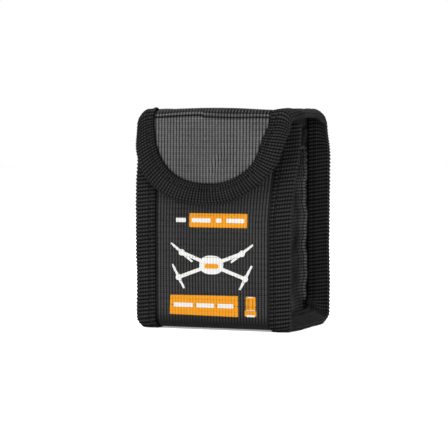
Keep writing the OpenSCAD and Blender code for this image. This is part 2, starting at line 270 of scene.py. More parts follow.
@dataclass(frozen=True)
class Stance:
    """How the sewn bag stands and its flap lies.

    Its right mouth corner is pushed back, its panels swell a little, the top is crowned and the tapes
    bend down at the corners of the top.
    """

    cut: Cut
    corner_push: float = 14.6
    push_start: float = 47.0
    push_end: float = 100.0
    belly: float = 0.9
    back_belly: float = 1.0
    heel_tuck: float = 1.5
    sway: float = 0.15
    flare: float = 0.7
    flap_follow: float = 0.45
    crown: float = 1.1
    sag: float = 1.7
    bend_radius: float = 7.0
    bend_from: float = 8.0
    mid_bend: float = 0.22
    front_zone: float = -24.0
    belly_span: tuple[float, float] = (33.0, 34.0)
    back_belly_span: tuple[float, float] = (50.0, 48.0)
    flare_span: tuple[float, float] = (74.0, 36.0)
    swell_half: float = 30.0
    corner_narrowing: float = 1.3

    def settle(self, points: np.ndarray, upper: float | np.ndarray = 0.0) -> np.ndarray:
        """Moves points of the straight bag to where they stand.

        Args:
            points: points in millimetres, with x, y and z last.
            upper: 1 on the back, the top and the tongue, and 0 on the rest of the pouch.

        Returns:
            The moved points, in millimetres.
        """
        moved = self._stand(points, 1.0 - np.asarray(upper, float))
        return self._hang(moved, upper)

    def _stand(self, points: np.ndarray, lower: float | np.ndarray) -> np.ndarray:
        """The pouch's own part of the shape.

        Args:
            points: points of the straight bag.
            lower: 0 on the back, the top and the tongue, and 1 on the rest.

        Returns:
            The moved points.
        """
        c = self.cut
        x, y, z = (points[..., i].copy() for i in range(3))
        side = smooth((x - 2.0) / (c.half_width - 2.0))
        front = 1.0 - smooth((y - self.front_zone) / 46.0)
        rise = smooth((z - self.push_start) / (self.push_end - self.push_start))
        push = side * front * rise * (lower + self.flap_follow * (1.0 - lower))
        near_front = 1.0 - smooth((y - self.front_zone) / 8.0)
        near_back = smooth((y - 18.0) / 8.0)
        middle = np.cos(np.clip(x / self.swell_half, -1, 1) * math.pi / 2)
        y += self.corner_push * push
        y -= self.belly * near_front * middle * bump(z, *self.belly_span) * lower
        y += self.back_belly * near_back * middle * bump(z, *self.back_belly_span)
        outer = smooth((np.abs(x) - 26.0) / 12.0)
        x -= np.sign(x) * self.heel_tuck * outer * (1.0 - smooth(z / 4.5)) * (near_front + near_back)
        x -= self.corner_narrowing * push
        x += self.sway * (np.sin(z / 13.0 + 1.1) + 0.5 * np.sin(z / 5.3 + y / 9.0)) * outer
        x -= self.flare * smooth((-x - 20.0) / 18.0) * bump(z, *self.flare_span) * near_front
        return np.stack([x, y, z], -1)

    def _hang(self, points: np.ndarray, upper: float | np.ndarray) -> np.ndarray:
        """The flap's own part of the shape.

        Args:
            points: points that already stand.
            upper: 1 on the back, the top and the tongue, and 0 on the rest.

        Returns:
            The moved points.
        """
        c = self.cut
        x, y, z = (points[..., i].copy() for i in range(3))
        level = smooth((z - (c.top_z - 22.0)) / 20.0) * upper
        along = np.abs(y) / (c.half_width * 0.75)
        share = level * (self.mid_bend + (1.0 - self.mid_bend) * smooth((along - 0.25) / 0.7))
        reach = np.maximum(np.abs(x) - (c.half_width - self.bend_from), 0.0)
        angle = reach / self.bend_radius
        drop = self.bend_radius * (1.0 - np.cos(angle))
        pull = reach - self.bend_radius * np.sin(angle)
        middle = np.cos(np.clip(x / self.swell_half, -1, 1) * math.pi / 2)
        lifted = smooth((z - (c.top_z - 6.0)) / 5.0) * middle * upper
        z += self.crown * lifted * smooth((-14.0 - y) / 10.0)
        z -= self.sag * lifted * bump(y, 0.0, 24.0)
        z -= share * drop
        x -= np.sign(x) * share * pull
        hang = smooth((c.tongue_top - z) / 30.0) * smooth((-20.0 - y) / 5.0) * upper
        y += (0.35 * np.sin(x / 11.0 + 0.7) - 0.5 * middle) * hang
        return np.stack([x, y, z], -1)


@dataclass(frozen=True)
class Tongue:
    """The rounded tongue of the flap, which hangs from the front fold a little lopsided."""

    cut: Cut
    outer_power: tuple[float, float] = (2.65, 1.85)
    inner_power: tuple[float, float] = (2.5, 2.0)
    slack: float = 1.0
    extra: float = 2.2
    draw_in: float = 2.2

    def sizes(self, share: float, left: np.ndarray) -> tuple[float, float, np.ndarray]:
        """Half width, depth and power of the outline at a share of the tape's width.

        Args:
            share: 0 on the outer edge and 1 on the inner edge.
            left: True for points left of the middle.

        Returns:
            The half width and the depth in millimetres, and the power at each point.
        """
        c = self.cut
        half = c.half_width - share * c.tape_width
        depth = c.tongue_top - c.tongue_tip + self.slack - share * (c.tape_width - self.extra + 1.2)
        powers = [outer + share * (inner - outer) for outer, inner in zip(self.outer_power, self.inner_power)]
        return half, depth, np.where(left, powers[0], powers[1])

    def outline(self, share: float, t: np.ndarray) -> np.ndarray:
        """Points on the outline a share of the way from the outer to the inner edge of the tape.

        Args:
            share: 0 on the outer edge and 1 on the inner edge.
            t: angles in radians, from 0 on the right to pi on the left.

        Returns:
            Points in the XZ plane.
        """
        cos, sin = np.cos(t), np.sin(t)
        half, depth, power = self.sizes(share, cos < 0)
        x = half * np.sign(cos) * np.abs(cos) ** (2.0 / power)
        below = depth * np.abs(sin) ** (2.0 / power)
        return np.stack([x - self.pinch(below, x), self.cut.tongue_top - below], -1)

    def pinch(self, below: np.ndarray, x: np.ndarray) -> np.ndarray:
        """How far the right edge is drawn in below the fold."""
        return self.draw_in * bump(below, 11.0, 13.0) * smooth(x / 20.0)

    def holds(self, x: np.ndarray, z: np.ndarray, share: float) -> np.ndarray:
        """True where a point lies inside the outline at that share.

        Args:
            x: x of the points.
            z: their heights.
            share: 0 on the outer edge and 1 on the inner edge.

        Returns:
            A truth value for each point.
        """
        half, depth, power = self.sizes(share, x < 0)
        below = np.maximum(self.cut.tongue_top - z, 0.0)
        x = x + self.pinch(below, x)
        return (np.abs(x) / half) ** power + (below / depth) ** power < 1.0


# ---- node trees

class Graph:
    """Builds a node tree with few words."""

    def __init__(self, tree: bpy.types.NodeTree) -> None:
        """Keeps the tree, emptied.

        Args:
            tree: the tree to build in.
        """
        self.tree = tree
        tree.nodes.clear()

    def add(self, kind: str, **settings: object) -> bpy.types.Node:
        """Adds a node and sets its properties.

        Args:
            kind: the node's type.
            settings: its properties.

        Returns:
            The node.
        """
        node = self.tree.nodes.new(kind)
        for name, value in settings.items():
            setattr(node, name, value)
        return node

    def put(self, node: bpy.types.Node, **values: object) -> bpy.types.Node:
        """Sets or links a node's inputs.

        Args:
            node: the node.
            values: a socket or a value for each input, by its name with _ for a space or by iN for its place.

        Returns:
            The node.
        """
        for name, value in values.items():
            key = int(name[1:]) if name[0] == "i" and name[1:].isdigit() else name.replace("_", " ")
            socket = node.inputs[key]
            if isinstance(value, bpy.types.NodeSocket):
                self.tree.links.new(value, socket)
            else:
                socket.default_value = value
        return node

    def math(self, operation: str, *values: object) -> bpy.types.NodeSocket:
        """A Math node's result.

        Args:
            operation: what it does.
            values: sockets or values.

        Returns:
            The result.
        """
        node = self.add("ShaderNodeMath", operation=operation)
        self.put(node, **{f"i{i}": v for i, v in enumerate(values)})
        return node.outputs[0]

    def times(self, *values: object) -> bpy.types.NodeSocket:
        """The product of sockets and values.

        Args:
            values: the factors, in order.

        Returns:
            The product.
        """
        product = values[0]
        for value in values[1:]:
            product = self.math("MULTIPLY", product, value)
        return product

    def vector(self, operation: str, *values: object, scale: object = None) -> bpy.types.NodeSocket:
        """A Vector Math node's result.

        Args:
            operation: what it does.
            values: sockets or values.
            scale: the factor of a SCALE node.

        Returns:
            The result.
        """
        node = self.add("ShaderNodeVectorMath", operation=operation)
        self.put(node, **{f"i{i}": v for i, v in enumerate(values)})
        if scale is not None:
            self.put(node, Scale=scale)
        return node.outputs[0]

    def wave(self, way: object, pitch: object) -> bpy.types.NodeSocket:
        """A cosine of height 1 along a direction, with its crests a pitch apart."""
        turns = self.math("DIVIDE", way, pitch)
        return self.math("COSINE", self.math("MULTIPLY", turns, 2 * math.pi))

    def ridge(self, way: object, pitch: object, sharpness: float) -> bpy.types.NodeSocket:
        """A row of ridges from 0 to 1, which are narrow where sharpness is high."""
        raised = self.math("MULTIPLY_ADD", self.wave(way, pitch), 0.5, 0.5)
        return self.math("POWER", raised, sharpness)


class GeometryTree:
    """A node tree with named inputs, and the way to run it on a piece."""

    INPUTS: Sequence[tuple[str, str]] = ()
    NAME = "tree"

    def __init__(self) -> None:
        """Builds the tree."""
        self.tree = bpy.data.node_groups.new(self.NAME, "GeometryNodeTree")
        face = self.tree.interface
        face.new_socket("Geometry", in_out="INPUT", socket_type="NodeSocketGeometry")
        self.keys = {
            name: face.new_socket(name, in_out="INPUT", socket_type=f"NodeSocket{kind}").identifier
            for name, kind in (*self.INPUTS, ("Material", "Material"))
        }
        face.new_socket("Geometry", in_out="OUTPUT", socket_type="NodeSocketGeometry")
        g = Graph(self.tree)
        given = {socket.name: socket for socket in g.add("NodeGroupInput").outputs if socket.name}
        made = self.build(g, given)
        smooth_faces = g.put(g.add("GeometryNodeSetShadeSmooth"), Geometry=made)
        real = g.put(g.add("GeometryNodeRealizeInstances"), Geometry=smooth_faces.outputs[0])
        dressed = g.add("GeometryNodeSetMaterial")
        g.put(dressed, Geometry=real.outputs[0], Material=given["Material"])
        g.put(g.add("NodeGroupOutput"), Geometry=dressed.outputs[0])

    def build(self, g: Graph, given: dict[str, bpy.types.NodeSocket]) -> bpy.types.NodeSocket:
        """Adds the tree's own nodes and returns the geometry they make."""
        raise NotImplementedError

    def use(self, piece: bpy.types.Object, material: bpy.types.Material, **values: float) -> None:
        """Adds the tree to a piece as a modifier.

        Args:
            piece: the object to work on.
            material: what the result is dressed in.
            values: the tree's inputs, by name with _ for a space.
        """
        modifier = piece.modifiers.new(self.NAME, "NODES")
        modifier.node_group = self.tree
        for name, value in values.items():
            modifier[self.keys[name.replace("_", " ")]] = value
        modifier[self.keys["Material"]] = material


class RibTree(GeometryTree):
    """Raises ribs on a surface and presses weft lines across them, from its two way attributes."""

    NAME = "ribs"
    INPUTS = (("Rib Pitch", "Float"), ("Rib Height", "Float"), ("Weft Pitch", "Float"),
              ("Weft Depth", "Float"), ("Waver", "Float"), ("Seed", "Float"))

    def build(self, g: Graph, given: dict[str, bpy.types.NodeSocket]) -> bpy.types.NodeSocket:
        """Moves each point along its normal.

        Args:
            g: the tree's graph.
            given: its inputs, by name.

        Returns:
            The ribbed surface.
        """
        ways = []
        for name in (RIB_WAY, WEFT_WAY, RELIEF_AND_LIGHT):
            node = g.add("GeometryNodeInputNamedAttribute", data_type="FLOAT")
            node.inputs["Name"].default_value = name
            ways.append(node.outputs["Attribute"])
        where = g.add("GeometryNodeInputPosition").outputs[0]
        noise = g.put(g.add("ShaderNodeTexNoise", noise_dimensions="4D"), Vector=where, W=given["Seed"],
                      Scale=90.0, Detail=1.0)
        drift = g.math("SUBTRACT", noise.outputs[0], 0.5)
        ribs = g.ridge(g.math("MULTIPLY_ADD", drift, given["Waver"], ways[0]), given["Rib Pitch"], 0.7)
        wefts = g.ridge(ways[1], given["Weft Pitch"], 14.0)
        height = g.math("MULTIPLY", g.math("SUBTRACT", ribs, 0.5), given["Rib Height"])
        height = g.math("SUBTRACT", height, g.math("MULTIPLY", wefts, given["Weft Depth"]))
        height = g.math("MULTIPLY", height, ways[2])
        offset = g.vector("SCALE", g.add("GeometryNodeInputNormal").outputs[0], scale=height)
        moved = g.put(g.add("GeometryNodeSetPosition"), Geometry=given["Geometry"], Offset=offset)
        return moved.outputs[0]


class StitchTree(GeometryTree):
    """Lays stitches end to end along a seam line, each turned to lie flat in its seat."""

    NAME = "stitches"
    INPUTS = (("Pitch", "Float"), ("Length", "Float"), ("Thickness", "Float"), ("Slant", "Float"))

    def build(self, g: Graph, given: dict[str, bpy.types.NodeSocket]) -> bpy.types.NodeSocket:
        """Spaces points along the line and sets a stitch on each.

        Args:
            g: the tree's graph.
            given: its inputs, by name.

        Returns:
            The stitches.
        """
        curve = g.put(g.add("GeometryNodeMeshToCurve"), Mesh=given["Geometry"])
        spaced = g.put(g.add("GeometryNodeResampleCurve", mode="LENGTH"), Curve=curve.outputs[0],
                       Length=given["Pitch"])
        seat = g.add("GeometryNodeInputNamedAttribute", data_type="FLOAT_VECTOR")
        seat.inputs["Name"].default_value = SEAT
        tangent = g.add("GeometryNodeInputTangent").outputs[0]
        lie = g.put(g.add("FunctionNodeAlignRotationToVector", axis="X"), Vector=tangent)
        flat = g.put(g.add("FunctionNodeAlignRotationToVector", axis="Z", pivot_axis="X"),
                     Rotation=lie.outputs[0], Vector=seat.outputs["Attribute"])
        ball = g.put(g.add("GeometryNodeMeshUVSphere"), Segments=8, Rings=6, Radius=0.5)
        size = g.add("ShaderNodeCombineXYZ")
        g.put(size, X=given["Length"], Y=given["Thickness"], Z=given["Thickness"])
        turn = g.add("ShaderNodeCombineXYZ")
        g.put(turn, Z=given["Slant"])
        shaped = g.put(g.add("GeometryNodeTransform"), Geometry=ball.outputs[0], Scale=size.outputs[0])
        turned = g.put(g.add("GeometryNodeTransform"), Geometry=shaped.outputs[0], Rotation=turn.outputs[0])
        placed = g.put(g.add("GeometryNodeInstanceOnPoints"), Points=spaced.outputs[0],
                       Instance=turned.outputs[0], Rotation=flat.outputs[0])
        return placed.outputs[0]


class PileTree(GeometryTree):
    """Plants small wire arcs over a pad: loops or hooks of a touch fastener."""

    NAME = "pile"
    INPUTS = (("Spacing", "Float"), ("Radius", "Float"), ("Wire", "Float"), ("Sweep", "Float"),
              ("Tumble", "Float"), ("Seed", "Int"))

    def build(self, g: Graph, given: dict[str, bpy.types.NodeSocket]) -> bpy.types.NodeSocket:
        """Scatters points over the pad's faces and stands an arc on each.

        Args:
            g: the tree's graph.
            given: its inputs, by name.

        Returns:
            The pad with its arcs.
        """
        points = g.put(g.add("GeometryNodeDistributePointsOnFaces", distribute_method="POISSON"),
                       Mesh=given["Geometry"], Seed=given["Seed"])
        g.put(points, Distance_Min=given["Spacing"], Density_Max=4.0e6)
        arc = g.put(g.add("GeometryNodeCurveArc", mode="RADIUS"), Resolution=8, Radius=given["Radius"],
                    Sweep_Angle=given["Sweep"], Start_Angle=-0.6)
        wire = g.put(g.add("GeometryNodeCurvePrimitiveCircle", mode="RADIUS"), Resolution=4,
                     Radius=given["Wire"])
        swept = g.put(g.add("GeometryNodeCurveToMesh"), Curve=arc.outputs[0], Profile_Curve=wire.outputs[0],
                      Fill_Caps=True)
        upright = g.put(g.add("GeometryNodeTransform"), Geometry=swept.outputs[0],
                        Rotation=(math.pi / 2, 0.0, 0.0))
        spin = g.add("FunctionNodeRandomValue", data_type="FLOAT_VECTOR")
        low = g.vector("SCALE", (-1.0, -1.0, -6.0), scale=given["Tumble"])
        high = g.vector("SCALE", (1.0, 1.0, 6.0), scale=given["Tumble"])
        g.put(spin, Min=low, Max=high, Seed=given["Seed"])
        turned = g.add("FunctionNodeRotateRotation")
        g.put(turned, i0=points.outputs["Rotation"], i1=spin.outputs[0])
        turned.rotation_space = "LOCAL"
        planted = g.put(g.add("GeometryNodeInstanceOnPoints"), Points=points.outputs[0],
                        Instance=upright.outputs[0], Rotation=turned.outputs[0])
        both = g.add("GeometryNodeJoinGeometry")
        self.tree.links.new(given["Geometry"], both.inputs[0])
        self.tree.links.new(planted.outputs[0], both.inputs[0])
        return both.outputs[0]


# ---- finishes

Colour = tuple[float, float, float]


def grey(level: float) -> tuple[float, float, float, float]:
    """An even grey as a colour socket takes it."""
    return (level, level, level, 1.0)


@dataclass(frozen=True)
class Finish:
    """What every finish has: its name, a slot name and its surface."""

    name: str
    slot: str
    roughness: float = 0.6
    sheen: float = 0.0
    specular: float = 0.5

    def material(self) -> bpy.types.Material:
        """Builds the material, with the finish's own pattern.

        Returns:
            The new material.
        """
        material = bpy.data.materials.new(self.name)
        material.use_nodes = True
        g = Graph(material.node_tree)
        shader = g.add("ShaderNodeBsdfPrincipled")
        g.put(shader, Roughness=self.roughness, Sheen_Weight=self.sheen, Specular_IOR_Level=self.specular)
        g.put(g.add("ShaderNodeOutputMaterial"), Surface=shader.outputs[0])
        self.pattern(g, shader)
        return material

    def pattern(self, g: Graph, shader: bpy.types.Node) -> None:
        """Colours and embosses the surface."""
        raise NotImplementedError

    @staticmethod
    def way(g: Graph, name: str) -> bpy.types.NodeSocket:
        """One of the piece's way attributes, in millimetres."""
        return g.add("ShaderNodeAttribute", attribute_name=name).outputs["Fac"]

    @staticmethod
    def noise(g: Graph, scale: float, detail: float = 2.0) -> bpy.types.NodeSocket:
        """Noise in the piece's own space, with features of about 1/scale of a metre.

        Args:
            g: the material's graph.
            scale: how many features to the metre.
            detail: how many finer layers.

        Returns:
            The noise, from 0 to 1.
        """
        where = g.add("ShaderNodeTexCoord").outputs["Object"]
        node = g.put(g.add("ShaderNodeTexNoise"), Vector=where, Scale=scale, Detail=detail)
        return node.outputs[0]

    @staticmethod
    def mix(g: Graph, share: object, low: object, high: object) -> bpy.types.NodeSocket:
        """A colour a share of the way from low to high.

        Args:
            g: the material's graph.
            share: from 0 to 1.
            low: the colour at 0.
            high: the colour at 1.

        Returns:
            The colour.
        """
        node = g.add("ShaderNodeMix", data_type="RGBA")
        g.put(node, i0=share, i6=low, i7=high)
        return node.outputs[2]

    @staticmethod
    def emboss(g: Graph, shader: bpy.types.Node, height: object, depth: float) -> None:
        """Gives the shader a bump of the given depth, in metres."""
        node = g.put(g.add("ShaderNodeBump"), Height=height, Distance=depth, Strength=1.0)
        g.put(shader, Normal=node.outputs[0])


@dataclass(frozen=True)
class RibbedWeave(Finish):
    """Ribbed fabric: bright crests, gaps between the ribs painted dark as their shade, thin weft lines and a
    fine yarn.
    """

    crest: float = 0.1
    # The gap colour is kept near black as painted shade between the ribs.
    gap: float = 0.01
    rib_pitch: float = RIB_PITCH
    rib_sharpness: float = 0.8
    weft_pitch: float = WEFT_PITCH
    weft_sharpness: float = 10.0
    weft_share: float = 0.6
    weft_break: float = 0.0
    dash_pitch: float = 0.94
    dash_share: float = 0.0
    yarn_pitch: float = 0.42
    yarn_depth: float = 0.00006
    yarn_slant: float = 0.35
    blotch: float = 0.25

    def pattern(self, g: Graph, shader: bpy.types.Node) -> None:
        """Colours the ribs and embosses the yarn.

        Args:
            g: the material's graph.
            shader: its shader.
        """
        rib, weft = self.way(g, RIB_WAY), self.way(g, WEFT_WAY)
        crests = g.ridge(rib, self.rib_pitch, self.rib_sharpness)
        lines = g.ridge(weft, self.weft_pitch, self.weft_sharpness)
        worn = self.noise(g, 60.0)
        speck = self.noise(g, 1400.0, 1.0)
        if self.weft_break:
            gap_noise = self.noise(g, 130.0)
            broken = g.math("MULTIPLY_ADD", gap_noise, 2.4 * self.weft_break, -0.7 * self.weft_break)
            lines = g.times(lines, g.math("MINIMUM", g.math("MAXIMUM", broken, 0.1), 1.0))
        # Painted light: the factor darkens and narrows the crests as painted shade, and lightens them as
        # painted highlights where it is above 1.
        shade = g.math("MAXIMUM", self.way(g, PAINTED_LIGHT), 0.02)
        crests = g.math("POWER", crests, g.math("DIVIDE", 1.0, shade))
        dashes = g.ridge(weft, self.dash_pitch, 1.0)
        # The level below multiplies in painted light: the painted light factor and the relief factor, which
        # lighten the crests over the fold and darken them as painted shade at the heel.
        level = g.times(crests, g.math("SUBTRACT", 1.0, g.times(lines, self.weft_share)),
                        g.math("SUBTRACT", 1.0, g.times(dashes, self.dash_share)),
                        g.math("MULTIPLY_ADD", worn, 2 * self.blotch, 1.0 - self.blotch),
                        g.math("MULTIPLY_ADD", speck, 0.9, 0.55), shade, self.way(g, RELIEF_AND_LIGHT))
        colour = self.mix(g, g.math("MINIMUM", level, 1.0), grey(self.gap), grey(self.crest))
        g.put(shader, Base_Color=colour)
        yarn = g.ridge(g.math("MULTIPLY_ADD", rib, self.yarn_slant, weft), self.yarn_pitch, 1.0)
        fine = g.math("MULTIPLY_ADD", speck, 0.8, yarn)
        self.emboss(g, shader, fine, self.yarn_depth)


@dataclass(frozen=True)
class PrintedInk(Finish):
    """Ink on the ribbed cloth: an even colour that thins out a little in the gaps."""

    colour: Colour = (0.9, 0.4, 0.05)
    worn_colour: Colour = (0.6, 0.25, 0.03)

    def pattern(self, g: Graph, shader: bpy.types.Node) -> None:
        """Colours the ink, and embosses the grain under it.

        Args:
            g: the material's graph.
            shader: its shader.
        """
        gaps = g.math("SUBTRACT", 1.0, g.ridge(self.way(g, RIB_WAY), RIB_PITCH, 0.45))
        grain = self.noise(g, 900.0)
        share = g.times(gaps, g.math("MULTIPLY_ADD", grain, 0.7, 0.1))
        colour = self.mix(g, share, (*self.colour, 1.0), (*self.worn_colour, 1.0))
        g.put(shader, Base_Color=colour)
        self.emboss(g, shader, grain, 0.00003)


@dataclass(frozen=True)
class Fibre(Finish):
    """Small fibres: sewing thread, loops or hooks."""

    level: float = 0.02
    twist: float = 2500.0

    def pattern(self, g: Graph, shader: bpy.types.Node) -> None:
        """Colours the fibre with a fine grain.

        Args:
            g: the material's graph.
            shader: its shader.
        """
        grain = self.noise(g, self.twist, 1.0)
        g.put(shader, Base_Color=self.mix(g, grain, grey(self.level * 0.5), grey(self.level * 1.6)))
        self.emboss(g, shader, grain, 0.00004)


@dataclass(frozen=True)
class StudioPaper(Finish):
    """The pale floor, which glows a little as if it were lit from below."""

    glow: float = 0.35

    def pattern(self, g: Graph, shader: bpy.types.Node) -> None:
        """Colours the paper with a faint grain.

        Args:
            g: the material's graph.
            shader: its shader.
        """
        grain = self.noise(g, 300.0)
        g.put(shader, Base_Color=self.mix(g, grain, grey(0.84), grey(0.9)), Emission_Color=grey(1.0),
              Emission_Strength=self.glow)


class Cloth(Enum):
    """The finishes of the bag."""

    # FLAP and BODY are one coated cloth: the flap's lighter crest is painted light for the flap facing up,
    # and the body's darker crest painted shade for the front leaning back.
    FLAP = RibbedWeave("flap_coated_cloth", "flap_cloth", 0.5, 0.0, 0.04, crest=0.092, gap=0.003,
                       rib_sharpness=0.55, weft_share=0.45, weft_break=1.0, dash_share=0.45)
    BODY = RibbedWeave("body_coated_cloth", "body_cloth", 0.5, 0.0, 0.05, crest=0.036, gap=0.002,
                       weft_share=0.6, weft_break=1.0, dash_share=0.4, blotch=0.4)
    # GUSSET is the body's cloth with lighter, sharper crests as painted glints.
    GUSSET = RibbedWeave("gusset_coated_cloth", "body_cloth", 0.42, 0.0, 0.05, crest=0.062, gap=0.001,
                         rib_sharpness=1.6, weft_pitch=1.5, weft_sharpness=1.2, weft_share=0.95, blotch=0.6)
    LINING = RibbedWeave("foil_backed_lining", "lining", 0.42, 0.0, 0.3, crest=0.05, gap=0.02, rib_pitch=0.9,
                         weft_pitch=0.9, weft_sharpness=1.5)
    TAPE = RibbedWeave("ribbed_binding_tape", "binding_tape", 0.7, 0.0, 0.04, crest=0.024, gap=0.001,
                       rib_pitch=1.78, rib_sharpness=1.1, weft_pitch=1.25, weft_sharpness=1.5, weft_share=0.8)
    THREAD = Fibre("sewing_thread", "thread", 0.6, 0.0, 0.15, level=0.008)
    LOOPS = Fibre("loop_pile", "loop_pile", 0.8, 0.2, 0.3, level=0.02)
    HOOKS = Fibre("hook_pile", "hook_pile", 0.45, 0.0, 0.5, level=0.018)
    ORANGE = PrintedInk("orange_ink", "orange_print", 0.5, 0.0, 0.1, colour=(0.44, 0.175, 0.0045),
                        worn_colour=(0.33, 0.11, 0.003))
    WHITE = PrintedInk("white_ink", "white_print", 0.5, 0.0, 0.1, colour=(0.435, 0.435, 0.42),
                       worn_colour=(0.33, 0.33, 0.32))
    PAPER = StudioPaper("studio_paper", "", 0.9)


class Wardrobe:
    """Makes each finish's material once."""

    def __init__(self) -> None:
        """Starts with no materials."""
        self.made: dict[Cloth, bpy.types.Material] = {}

    def material(self, cloth: Cloth) -> bpy.types.Material:
        """The material of a finish, made when it is first asked for.

        Args:
            cloth: the finish.

        Returns:
            Its material.
        """
        if cloth not in self.made:
            self.made[cloth] = cloth.value.material()
        return self.made[cloth]

    def dress(self, piece: bpy.types.Object, cloth: Cloth) -> None:
        """Gives a piece the finish as its only material.

        Args:
            piece: the piece.
            cloth: the finish.
        """
        piece.data.materials.clear()
        piece.data.materials.append(self.material(cloth))


# ---- pieces

@dataclass
class Weave:
    """A grid of points on a surface, with the way along and across its ribs at each point."""

    points: np.ndarray
    rib: np.ndarray
    weft: np.ndarray
    # The factor below scales the ribs' height and also the crests' colour, as painted light.
    relief_and_light: np.ndarray | float = 1.0
    keep: np.ndarray | None = None
    flip: bool = False
    # The factor below is painted light on the crests: below 1 painted shade, above 1 painted highlights.
    shade: np.ndarray | float = 1.0

    def piece(self, name: str) -> bpy.types.Object:
        """Makes the grid's mesh.

        Args:
            name: the piece's name.

        Returns:
            The new object, with the ways, the relief and the painted light as attributes.
        """
        rows, columns = self.points.shape[:2]
        index = np.arange(rows * columns).reshape(rows, columns)
        quads = np.stack([index[:-1, :-1], index[1:, :-1], index[1:, 1:], index[:-1, 1:]], -1)
        quads = quads.reshape(-1, 4)
        if self.keep is not None:
            quads = quads[self.keep.reshape(-1)]
        if self.flip:
            quads = quads[:, ::-1]
        used, faces = np.unique(quads, return_inverse=True)
        mesh = bpy.data.meshes.new(name)
        places = self.points.reshape(-1, 3)[used] * MM
        mesh.from_pydata(places.tolist(), [], faces.reshape(-1, 4).tolist())
        facts = ((RIB_WAY, self.rib), (WEFT_WAY, self.weft), (RELIEF_AND_LIGHT, self.relief_and_light), (PAINTED_LIGHT, self.shade))
        for key, values in facts:
            whole = np.broadcast_to(values, (rows, columns)).reshape(-1)[used]
            mesh.attributes.new(key, "FLOAT", "POINT").data.foreach_set("value", whole.astype(np.float32))
        mesh.shade_smooth()
        return show(name, mesh)


@dataclass
class Shop:
    """What every sub-assembly works with: sizes, outline, stance, node trees and finishes."""

    cut: Cut
    line: Profile
    stance: Stance
    tongue: Tongue
    wardrobe: Wardrobe = field(default_factory=Wardrobe)
    ribs: RibTree = field(default_factory=RibTree)
    stitches: StitchTree = field(default_factory=StitchTree)
    pile: PileTree = field(default_factory=PileTree)

    def grow(self, piece: bpy.types.Object, tree: GeometryTree, cloth: Cloth, **values: float) -> None:
        """Runs a tree on a piece and keeps what it makes as the piece's plain mesh.

        Args:
            piece: the object to work on.
            tree: the node tree.
            cloth: the finish of the result.
            values: the tree's inputs.
        """
        tree.use(piece, self.wardrobe.material(cloth), **values)
        graph = bpy.context.evaluated_depsgraph_get()
        made = bpy.data.meshes.new_from_object(piece.evaluated_get(graph), depsgraph=graph)
        piece.modifiers.clear()
        old = piece.data
        piece.data = made
        bpy.data.meshes.remove(old)
        made.name = piece.name
        self.wardrobe.dress(piece, cloth)

    def rib_cloth(self, piece: bpy.types.Object, cloth: Cloth, height: float, depth: float,
                  waver: float = 0.5) -> None:
        """Raises the ribs of a cloth, tape or print on a piece.

        Args:
            piece: the object, made from a Weave.
            cloth: its finish, which also gives the pitches.
            height: height of the ribs, in millimetres.
            depth: depth of the weft lines, in millimetres.
            waver: how far the ribs wander, in millimetres.
        """
        finish = cloth.value
        rib = getattr(finish, "rib_pitch", RIB_PITCH)
        weft = getattr(finish, "weft_pitch", WEFT_PITCH)
        self.grow(piece, self.ribs, cloth, Rib_Pitch=rib, Rib_Height=height * MM, Weft_Pitch=weft,
                  Weft_Depth=depth * MM, Waver=waver, Seed=4.0)

    @staticmethod
    def thicken(piece: bpy.types.Object, thickness: float) -> None:
        """Gives a sheet its thickness, inwards from the side its faces show.

        Args:
            piece: the sheet.
            thickness: its thickness, in millimetres.
        """
        modifier = piece.modifiers.new("thickness", "SOLIDIFY")
        modifier.thickness = thickness * MM
        modifier.offset = -1.0
        modifier.use_even_offset = False

    def seam(self, name: str, points: np.ndarray, above: np.ndarray, pitch: float = 3.4, length: float = 2.2,
             thickness: float = 0.5) -> bpy.types.Object:
        """Sews a row of stitches.

        Args:
            name: the piece's name.
            points: points along the seam, in millimetres.
            above: a point straight above each of them, out of the cloth.
            pitch: from one stitch to the next.
            length: a stitch's length.
            thickness: the thread's thickness.

        Returns:
            The stitches, as one piece.
        """
        mesh = bpy.data.meshes.new(name)
        links = [(i, i + 1) for i in range(len(points) - 1)]
        mesh.from_pydata((points * MM).tolist(), links, [])
        seat = mesh.attributes.new(SEAT, "FLOAT_VECTOR", "POINT")
        seat.data.foreach_set("vector", (above - points).astype(np.float32).reshape(-1))
        piece = show(name, mesh)
        self.grow(piece, self.stitches, Cloth.THREAD, Pitch=pitch * MM, Length=length * MM,
                  Thickness=thickness * MM, Slant=0.1)
        return piece

    @staticmethod
    def declare(piece: bpy.types.Object, nodes: Sequence[str], way: str | tuple = "bag") -> None:
        """Hides the CAD nodes a piece replaces and ties it to the body it rides on, or bakes its place when
        it crosses a hinge.

        Args:
            piece: the piece.
            nodes: the CAD nodes it replaces.
            way: the body it rides on, or a hinge, for which it only bakes its place.
        """
        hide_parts(*nodes)
        if isinstance(way, str):
            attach(piece, way)
        else:
            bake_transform(piece)
        log.info("%s: %d faces", piece.name, len(piece.data.polygons))

    @staticmethod
    def join(name: str, pieces: Sequence[bpy.types.Object]) -> bpy.types.Object:
        """Joins pieces of one finish into the first of them, and names it.

        Args:
            name: the joined piece's name.
            pieces: the pieces.

        Returns:
            The joined piece.
        """
        first = pieces[0]
        with bpy.context.temp_override(active_object=first, selected_editable_objects=list(pieces)):
            bpy.ops.object.join()
        first.name = first.data.name = name
        return first


def stations(start: float, end: float, step: float) -> np.ndarray:
    """Evenly spaced values from start to end, about a step apart."""
    return np.linspace(start, end, max(2, int(round(abs(end - start) / step)) + 1))


BACK_HINGE = ("bag", "flap_top", (0.0, 0.0315, 0.0975), (0.0, 0.0275, 0.1010))
FRONT_HINGE = ("flap_top", "flap_front", (0.0, -0.0230, 0.1035), (0.0, -0.0310, 0.0950))


